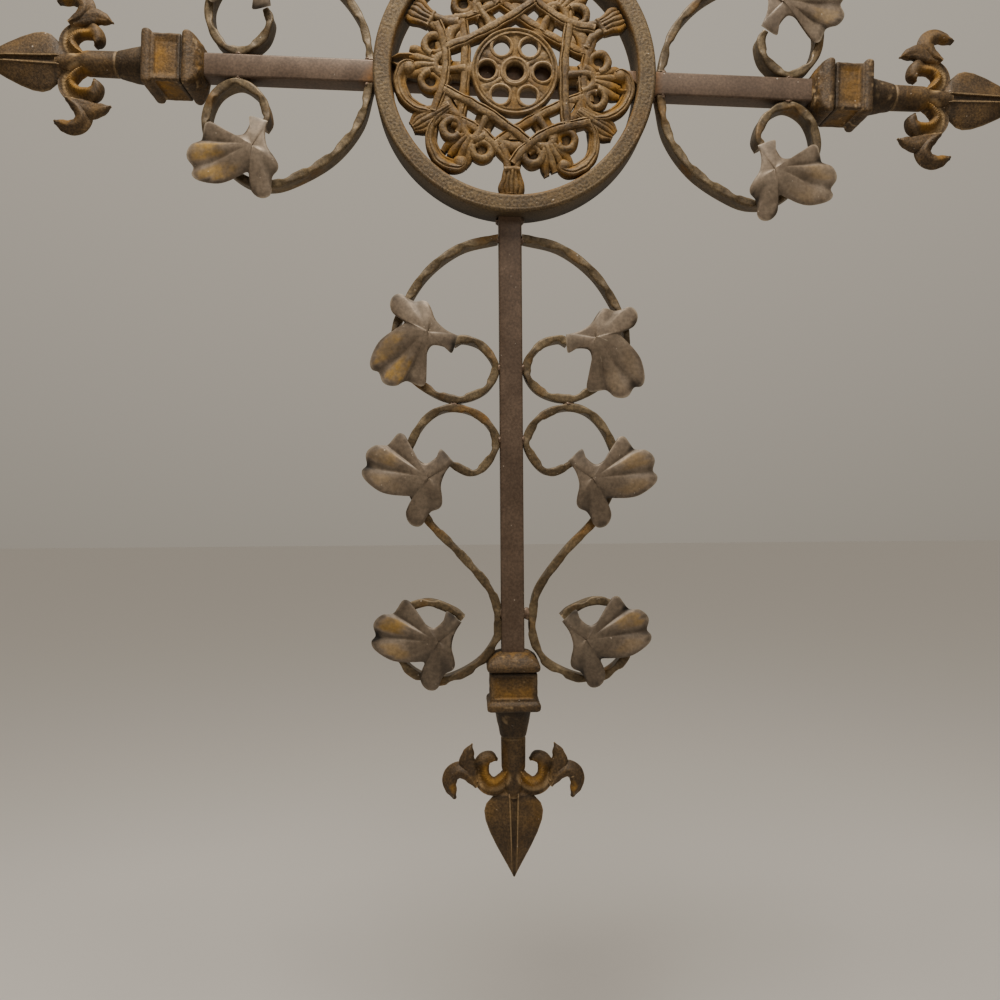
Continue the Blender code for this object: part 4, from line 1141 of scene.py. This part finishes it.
def make_collar(limb):
    shoulder = SHOULDER[limb]
    profile = fine_profile(collar_profile(), 0.42 * MM)
    bm = bmesh.new()
    corner = 5
    side_cells = 18

    def section(half, radius):
        return rounded_box(half, half, min(radius, half * 0.9), corner, side_cells)

    stations = [Matrix.Translation((0, BAR_MIDDLE, -(shoulder + spot.x))) for spot in profile]

    def section_at(index):
        down, half = profile[index]
        points = []
        sunk = step(COLLAR_SHOULDER + 6.9 * MM, COLLAR_SHOULDER + 7.5 * MM, down)
        sunk *= 1 - step(COLLAR_LENGTH - 7.5 * MM, COLLAR_LENGTH - 6.9 * MM, down)
        weld = 1 - step(1.5 * MM, 5.4 * MM, down)
        for x, y in section(half, 1.5 * MM + 4.0 * MM * (1 - step(1.0 * MM, COLLAR_SHOULDER + 1.0 * MM, down))):
            side = min(abs(x), abs(y))
            inside = sunk * (1 - step(10.6 * MM, 11.2 * MM, side))
            spot = Vector((x, y, down))
            lumps = 0.22 * MM * noise.noise(spot * 260 + Vector((len(limb), 0, 0))) - 0.2 * MM
            lumps += weld * 0.9 * MM * noise.noise(spot * 330 + Vector((0, len(limb), 0)))
            shrink = 1 - (1.3 * MM * inside - lumps) / half
            points.append((x * shrink, y * shrink))
        return points

    rod(bm, stations, section_at)
    neck = bmesh.new()
    neck_end = shoulder + COLLAR_LENGTH + NECK_LENGTH
    neck_profile = fine_profile([(COLLAR_LENGTH - 1.5 * MM, 10.3 * MM), (COLLAR_LENGTH + 0.6 * MM, 10.6 * MM),
                                 (COLLAR_LENGTH + 1.4 * MM, 10.3 * MM), (COLLAR_LENGTH + 8 * MM, 8.9 * MM),
                                 (COLLAR_LENGTH + NECK_LENGTH - 0.5 * MM, 7.35 * MM),
                                 (COLLAR_LENGTH + NECK_LENGTH, 7.0 * MM)], 0.8 * MM)

    def neck_section(index):
        radius = neck_profile[index].y
        points = []
        for number in range(40):
            angle = math.tau * number / 40
            bump = 0.22 * MM * noise.noise(Vector((math.cos(angle) * 2, math.sin(angle) * 2, index * 0.22)))
            points.append(((radius + bump) * math.cos(angle), (radius + bump) * math.sin(angle)))
        return points

    rod(neck, [Matrix.Translation((0, BAR_MIDDLE, -(shoulder + spot.x))) for spot in neck_profile], neck_section)
    pour(bm, neck)
    settle(bm, limb)
    return close_piece(limb + "_collar_casting", bm, end_skin, (limb + "_collar",), 50.0,
                       collar_rust(limb), collar_worn)


for limb in LIMBS:
    make_collar(limb)
print("collars:", len(LIMBS))

# %% [markdown]
# ## The spears
#
# Each end is a cast lily: a spear blade under three curled petals on either side. A petal is a
# scoop, thick and bright along its outer edge and hollow inside, so its section is lopsided. The
# blade is a flat diamond with a groove between two ridges down the middle of each face.

# %% Make the spears
SPAN = 77.7 * MM
FLEUR_DROP = 35.5 * MM
FLEUR_THICK = 11.0 * MM
BLADE_LENGTH = 43.0 * MM
BLADE_WIDTH = 33.0 * MM
BLADE_THICK = 9.0 * MM
RIDGE_APART = 2.3 * MM
SHANK = 6.9 * MM
PETALS = {
    "curl": ([(0.030, 0.235), (0.048, 0.292), (0.085, 0.338), (0.135, 0.363), (0.190, 0.346), (0.228, 0.295),
              (0.236, 0.235), (0.222, 0.182), (0.185, 0.150), (0.148, 0.152), (0.116, 0.168)],
             [0.06, 0.105, 0.125, 0.130, 0.132, 0.130, 0.124, 0.120, 0.104, 0.080, 0.02], 1.18, -1),
    "droop": ([(0.262, 0.345), (0.318, 0.268), (0.385, 0.235), (0.445, 0.268), (0.460, 0.335), (0.438, 0.405),
               (0.424, 0.440)], [0.05, 0.10, 0.118, 0.118, 0.110, 0.085, 0.03], 0.92, 1),
    "upright": ([(0.272, 0.32), (0.312, 0.25), (0.332, 0.17), (0.314, 0.095), (0.296, 0.052)],
                [0.05, 0.110, 0.128, 0.085, 0.012], 0.7, 0),
}
BLADE_HALF = [(-0.13, 0.34), (-0.04, 0.72), (0.05, 0.93), (0.14, 1.0), (0.26, 0.96), (0.42, 0.81), (0.60, 0.585),
              (0.80, 0.30), (0.95, 0.09), (1.0, 0.03)]


def petal(bm, points, widths, thick, hollow, side):
    line = [Vector((side * out * SPAN, -down * SPAN)) for out, down in points]
    line = even_line(smooth_line(line, 10), 0.4 * MM)
    count = len(line) - 1

    def section_at(index):
        share = index / count
        half = widths_at(widths, share) * SPAN / 2
        depth = FLEUR_THICK * thick / 2 * (1 - 0.35 * share) * min(1.0, 0.25 + half / (0.03 * SPAN))
        points = []
        for number in range(32):
            angle = math.tau * number / 32
            x = math.cos(angle)
            y = math.copysign(abs(math.sin(angle)) ** 0.75, math.sin(angle))
            inner = 0.5 + 0.5 * x * side * hollow
            sink = 0.0
            if hollow < 0:
                sink = 0.80 * step(0.16, 0.62, inner) * (1 - 0.35 * step(0.86, 1.0, inner))
                sink += 0.05 * (index % 4 < 2) * step(0.12, 0.25, inner) * (1 - step(0.6, 0.8, inner))
                sink *= 1 - step(0.66, 0.80, share)
            elif hollow > 0:
                sink = 0.65 * step(0.45, 0.90, inner)
            else:
                sink = 0.10 * (1 - step(0.0, 0.30, abs(x - 0.25 * side)))
            points.append((x * half, y * depth * (1 - sink)))
        return points

    rod(bm, stations_on(line, BAR_MIDDLE), section_at)


def blade(bm, top):
    line = fine_profile(BLADE_HALF, 0.02)
    stations = [Matrix.Translation((0, BAR_MIDDLE, -(top + spot.x * BLADE_LENGTH))) for spot in line]
    across = [-1, -0.94, -0.8, -0.64, -0.48, -0.36]

    def section_at(index):
        spot = line[index]
        half = spot.y * BLADE_WIDTH / 2
        thick = BLADE_THICK / 2 * min(1.0, spot.y / 0.7 + 0.12)
        ridge = min(RIDGE_APART * (1 - 0.5 * spot.x) / half, 0.30 + 0.2 * step(0.6, 1.0, spot.x))
        middle = [(x, 0.93 * (1 - 0.2 * (x - ridge))) for x in (ridge + 0.08, ridge + 0.045)]
        middle += [(ridge + 0.025, 1.06), (ridge - 0.025, 1.06), (ridge - 0.06, 0.76), (0.0, 0.70)]
        right = [(-x, 1 - 0.78 * abs(x) ** 1.2 if x > -1 else 0.10) for x in across] + middle
        front = [(-x * half, -thick * level) for x, level in right]
        front += [(x * half, -thick * level) for x, level in reversed(right[:-1])]
        return front + [(x, -y) for x, y in reversed(front)]

    rod(bm, stations, section_at)


def spear_rust(limb):
    back = LIMBS[limb].inverted()
    start = SHOULDER[limb] + COLLAR_LENGTH + NECK_LENGTH

    def amount(point):
        spot = back @ point
        out = abs(spot.x) / SPAN
        down = (-spot.z - start) / SPAN
        deep = abs(spot.y - BAR_MIDDLE)
        bowl = 1 - step(0.085, 0.130, math.hypot(out - 0.15, down - 0.275))
        pit = bowl * (1 - step(2.0 * MM, 3.2 * MM, deep))
        hood = 1 - step(0.025, 0.05, math.hypot(out - 0.42, down - 0.36))
        groove = step(0.43, 0.47, down) * (1 - step(0.6 * MM, 1.4 * MM, abs(spot.x)))
        shade = 0.5 * step(0.415, 0.43, down) * (1 - step(0.43, 0.47, down)) * step(0.03, 0.05, out)
        # Rust fills each bowl and the hood of each drooping petal. Painted shade takes some rust off the bowl's deep
        # middle and darkens the blade's top under the curls, and the blade's middle groove is darker.
        return (0.85 * bowl - 0.30 * pit + 0.7 * hood - 0.45 * groove - shade
                + 0.2 * step(0.0, 0.5, noise.noise(point * 90)))

    return amount


def spear_worn(limb):
    """Rubbed bright on the blade's two ridges and on the rolled rim of each bowl."""
    back = LIMBS[limb].inverted()
    start = SHOULDER[limb] + COLLAR_LENGTH + NECK_LENGTH

    def amount(point):
        spot = back @ point
        out = abs(spot.x) / SPAN
        down = (-spot.z - start) / SPAN
        apart = RIDGE_APART * (1 - 0.5 * (down * SPAN - FLEUR_DROP) / BLADE_LENGTH)
        ridge = step(0.44, 0.47, down) * (1 - step(0.25 * MM, 0.7 * MM, abs(abs(spot.x) - apart)))
        around_bowl = math.hypot(out - 0.15, down - 0.265)
        roll = step(0.080, 0.100, around_bowl) * (1 - step(0.120, 0.140, around_bowl)) * step(0.24, 0.30, down)
        roll *= 1 - step(0.24, 0.28, out)
        return 0.22 * ridge + roll

    return amount


def make_spear(limb):
    start = SHOULDER[limb] + COLLAR_LENGTH + NECK_LENGTH + GAP
    bm = bmesh.new()
    shank_line = fine_profile([(0, SHANK * 0.93), (0.4 * MM, SHANK), (0.48 * FLEUR_DROP, SHANK * 0.97),
                               (0.62 * FLEUR_DROP, SHANK * 0.78), (0.95 * FLEUR_DROP, SHANK * 0.6)], 0.9 * MM)
    circle = [(math.cos(math.tau * number / 32), math.sin(math.tau * number / 32)) for number in range(32)]
    rod(bm, [Matrix.Translation((0, BAR_MIDDLE, -(start + spot.x))) for spot in shank_line],
        lambda index: [(x * shank_line[index].y, y * shank_line[index].y) for x, y in circle])
    flower = bmesh.new()
    for side in (-1, 1):
        for points, widths, thick, hollow in PETALS.values():
            petal(flower, points, widths, thick, hollow, side)
    bmesh.ops.translate(flower, vec=(0, 0, -start), verts=flower.verts)
    blade(flower, start + FLEUR_DROP)
    mesh = bpy.data.meshes.new("flower")
    flower.to_mesh(mesh)
    flower.free()
    bm.from_mesh(mesh)
    bpy.data.meshes.remove(mesh)
    settle(bm, limb)
    return close_piece(limb + "_spear_casting", bm, end_skin, (limb + "_finial",), 45.0,
                       spear_rust(limb), spear_worn(limb))


for limb in LIMBS:
    make_spear(limb)
print("spears:", len(LIMBS))

# %% [markdown]
# ## The welds
#
# The pieces are held by short welds: lumps of metal where strip touches bar, where two loops touch
# and where the bars meet the ring. Each lump is a small ball pushed out of round with noise.

# %% Lay the welds
def lump(bm, x, y, z, wide, deep, tall, seed):
    part = bmesh.new()
    bmesh.ops.create_icosphere(part, subdivisions=3, radius=1.0)
    for vert in part.verts:
        swell = 1 + 0.35 * noise.noise(vert.co * 1.6 + Vector((seed * 3.1, 0, 0)))
        vert.co = Vector((vert.co.x * wide, vert.co.y * deep, vert.co.z * tall)) * swell
    pour(bm, part, Matrix.Translation((x, y, z)))


def make_welds(limb):
    bm = bmesh.new()
    start = C_START[limb]
    contact = -(start + 0.80 * C_RUN)
    for side in (1, -1):
        seed = side + len(limb)
        edge = side * (BAR / 2 + GAP / 2)
        lump(bm, edge, STRIP_FRONT + 1.3 * MM, contact, 1.2 * MM, 1.5 * MM, 2.0 * MM, seed)
        lump(bm, edge, BAR_MIDDLE + 2.5 * MM, contact, 1.2 * MM, 3.0 * MM, 2.4 * MM, seed + 1)
        lump(bm, edge, STRIP_FRONT + 1.6 * MM, -(start + 1.6 * MM), 1.6 * MM, 1.8 * MM, 1.8 * MM, seed + 2)
        lump(bm, edge * 0.98, BAR_MIDDLE, -(RING_RADIUS + 0.9 * MM), 1.6 * MM, 4.5 * MM, 1.5 * MM, seed + 3)
        if limb == "foot":
            between = -(start + C_RUN + STRIP / 2 + GAP / 2)
            lump(bm, side * (TOUCH + 0.42 * C_REACH), STRIP_FRONT + 2.5 * MM, between, 2.6 * MM, 2.0 * MM,
                 1.2 * MM, seed + 4)
            upper = -(S_START + 0.12 * S_RUN)
            lower = -(S_START + 0.76 * S_RUN)
            lump(bm, edge, STRIP_FRONT + 1.4 * MM, upper, 1.2 * MM, 1.6 * MM, 2.2 * MM, seed + 5)
            lump(bm, side * (BAR / 2 + S_STAND_OFF[side] / 2), STRIP_FRONT + 2.5 * MM, lower,
                 1.4 * MM + S_STAND_OFF[side] / 2, 1.8 * MM, 3.0 * MM, seed + 6)
    settle(bm, limb)
    return close_piece(limb + "_welds", bm, bar_skin, (), 60.0, lambda point: 0.1)


for limb in LIMBS:
    make_welds(limb)
print("welds:", len(LIMBS), "sets")

# %% [markdown]
# ## Floor, light and camera
#
# The cross hangs in front of nothing, over a pale floor below its tip. A soft lamp close above and
# in front gives the light from overhead, a weak one further out keeps the fronts readable, and the
# floor throws a little light up. The camera stands half a metre in front of the foot.

# %% Floor and light
floor = bmesh.new()
bmesh.ops.create_grid(floor, x_segments=1, y_segments=1, size=9.0)
bmesh.ops.translate(floor, vec=(0, 0, cad_box[0].z - 260 * MM), verts=floor.verts)
floor_mesh = bpy.data.meshes.new("floor")
floor.to_mesh(floor_mesh)
floor.free()
floor_paint = bpy.data.materials.new("floor_paint")
floor_paint.use_nodes = True
floor_paint.node_tree.nodes["Principled BSDF"].inputs["Base Color"].default_value = (0.735, 0.715, 0.69, 1)
floor_paint.node_tree.nodes["Principled BSDF"].inputs["Roughness"].default_value = 0.9
floor_mesh.materials.append(floor_paint)
floor_object = bpy.data.objects.new("floor", floor_mesh)
bpy.context.scene.collection.objects.link(floor_object)

world = bpy.data.worlds.new("studio")
world.use_nodes = True
sky = world.node_tree
backdrop = sky.nodes["Background"]
backdrop.inputs["Color"].default_value = (0.70, 0.63, 0.53, 1)
direction = sky.nodes.new("ShaderNodeTexCoord")
parts = sky.nodes.new("ShaderNodeSeparateXYZ")
height = sky.nodes.new("ShaderNodeMapRange")
for port, value in (("From Min", -0.35), ("From Max", 0.75), ("To Min", 0.07), ("To Max", 0.58)):
    height.inputs[port].default_value = value
behind = sky.nodes.new("ShaderNodeMapRange")
for port, value in (("From Min", 0.0), ("From Max", 1.0), ("To Min", 0.0), ("To Max", 0.27)):
    behind.inputs[port].default_value = value
both = sky.nodes.new("ShaderNodeMath")
both.operation = "ADD"
sky.links.new(direction.outputs["Generated"], parts.inputs["Vector"])
sky.links.new(parts.outputs["Z"], height.inputs["Value"])
sky.links.new(parts.outputs["Y"], behind.inputs["Value"])
sky.links.new(height.outputs["Result"], both.inputs[0])
sky.links.new(behind.outputs["Result"], both.inputs[1])
sky.links.new(both.outputs["Value"], backdrop.inputs["Strength"])
bpy.context.scene.world = world


def lamp(name, place, target, size, power, colour):
    light = bpy.data.lights.new(name, "AREA")
    light.shape = "DISK"
    light.size = size
    light.energy = power
    light.color = colour
    thing = bpy.data.objects.new(name, light)
    aim = Vector(target) - Vector(place)
    thing.matrix_world = CROSSING @ Matrix.Translation(place) @ aim.to_track_quat("-Z", "Y").to_matrix().to_4x4()
    bpy.context.scene.collection.objects.link(thing)


lamp("overhead", (-0.06, -0.34, 0.62), (0, 0, -0.03), 0.30, 12.4, (1.0, 0.94, 0.84))
lamp("front", (0.3, -1.2, 0.6), (0, 0, -0.1), 0.6, 3.5, (1.0, 0.97, 0.94))

# %% Camera
PHOTO_FOCAL = 900.0
PHOTO_SIDE = 1000.0
camera_data = bpy.data.cameras.new("camera")
camera_data.sensor_width = 36.0
camera_data.lens = PHOTO_FOCAL / PHOTO_SIDE * camera_data.sensor_width
camera = bpy.data.objects.new("camera", camera_data)
camera.matrix_world = (CROSSING @ Matrix.Translation((FOOT_SHIFT - 22.3 * MM, -BAR - 497 * MM, -234 * MM))
                       @ Matrix.Rotation(math.radians(-1.8), 4, "Z") @ Matrix.Rotation(math.radians(90), 4, "X")
                       @ Matrix.Rotation(math.radians(-0.4), 4, "Z"))
bpy.context.scene.collection.objects.link(camera)
bpy.context.scene.camera = camera
print("lens:", camera_data.lens, "mm")
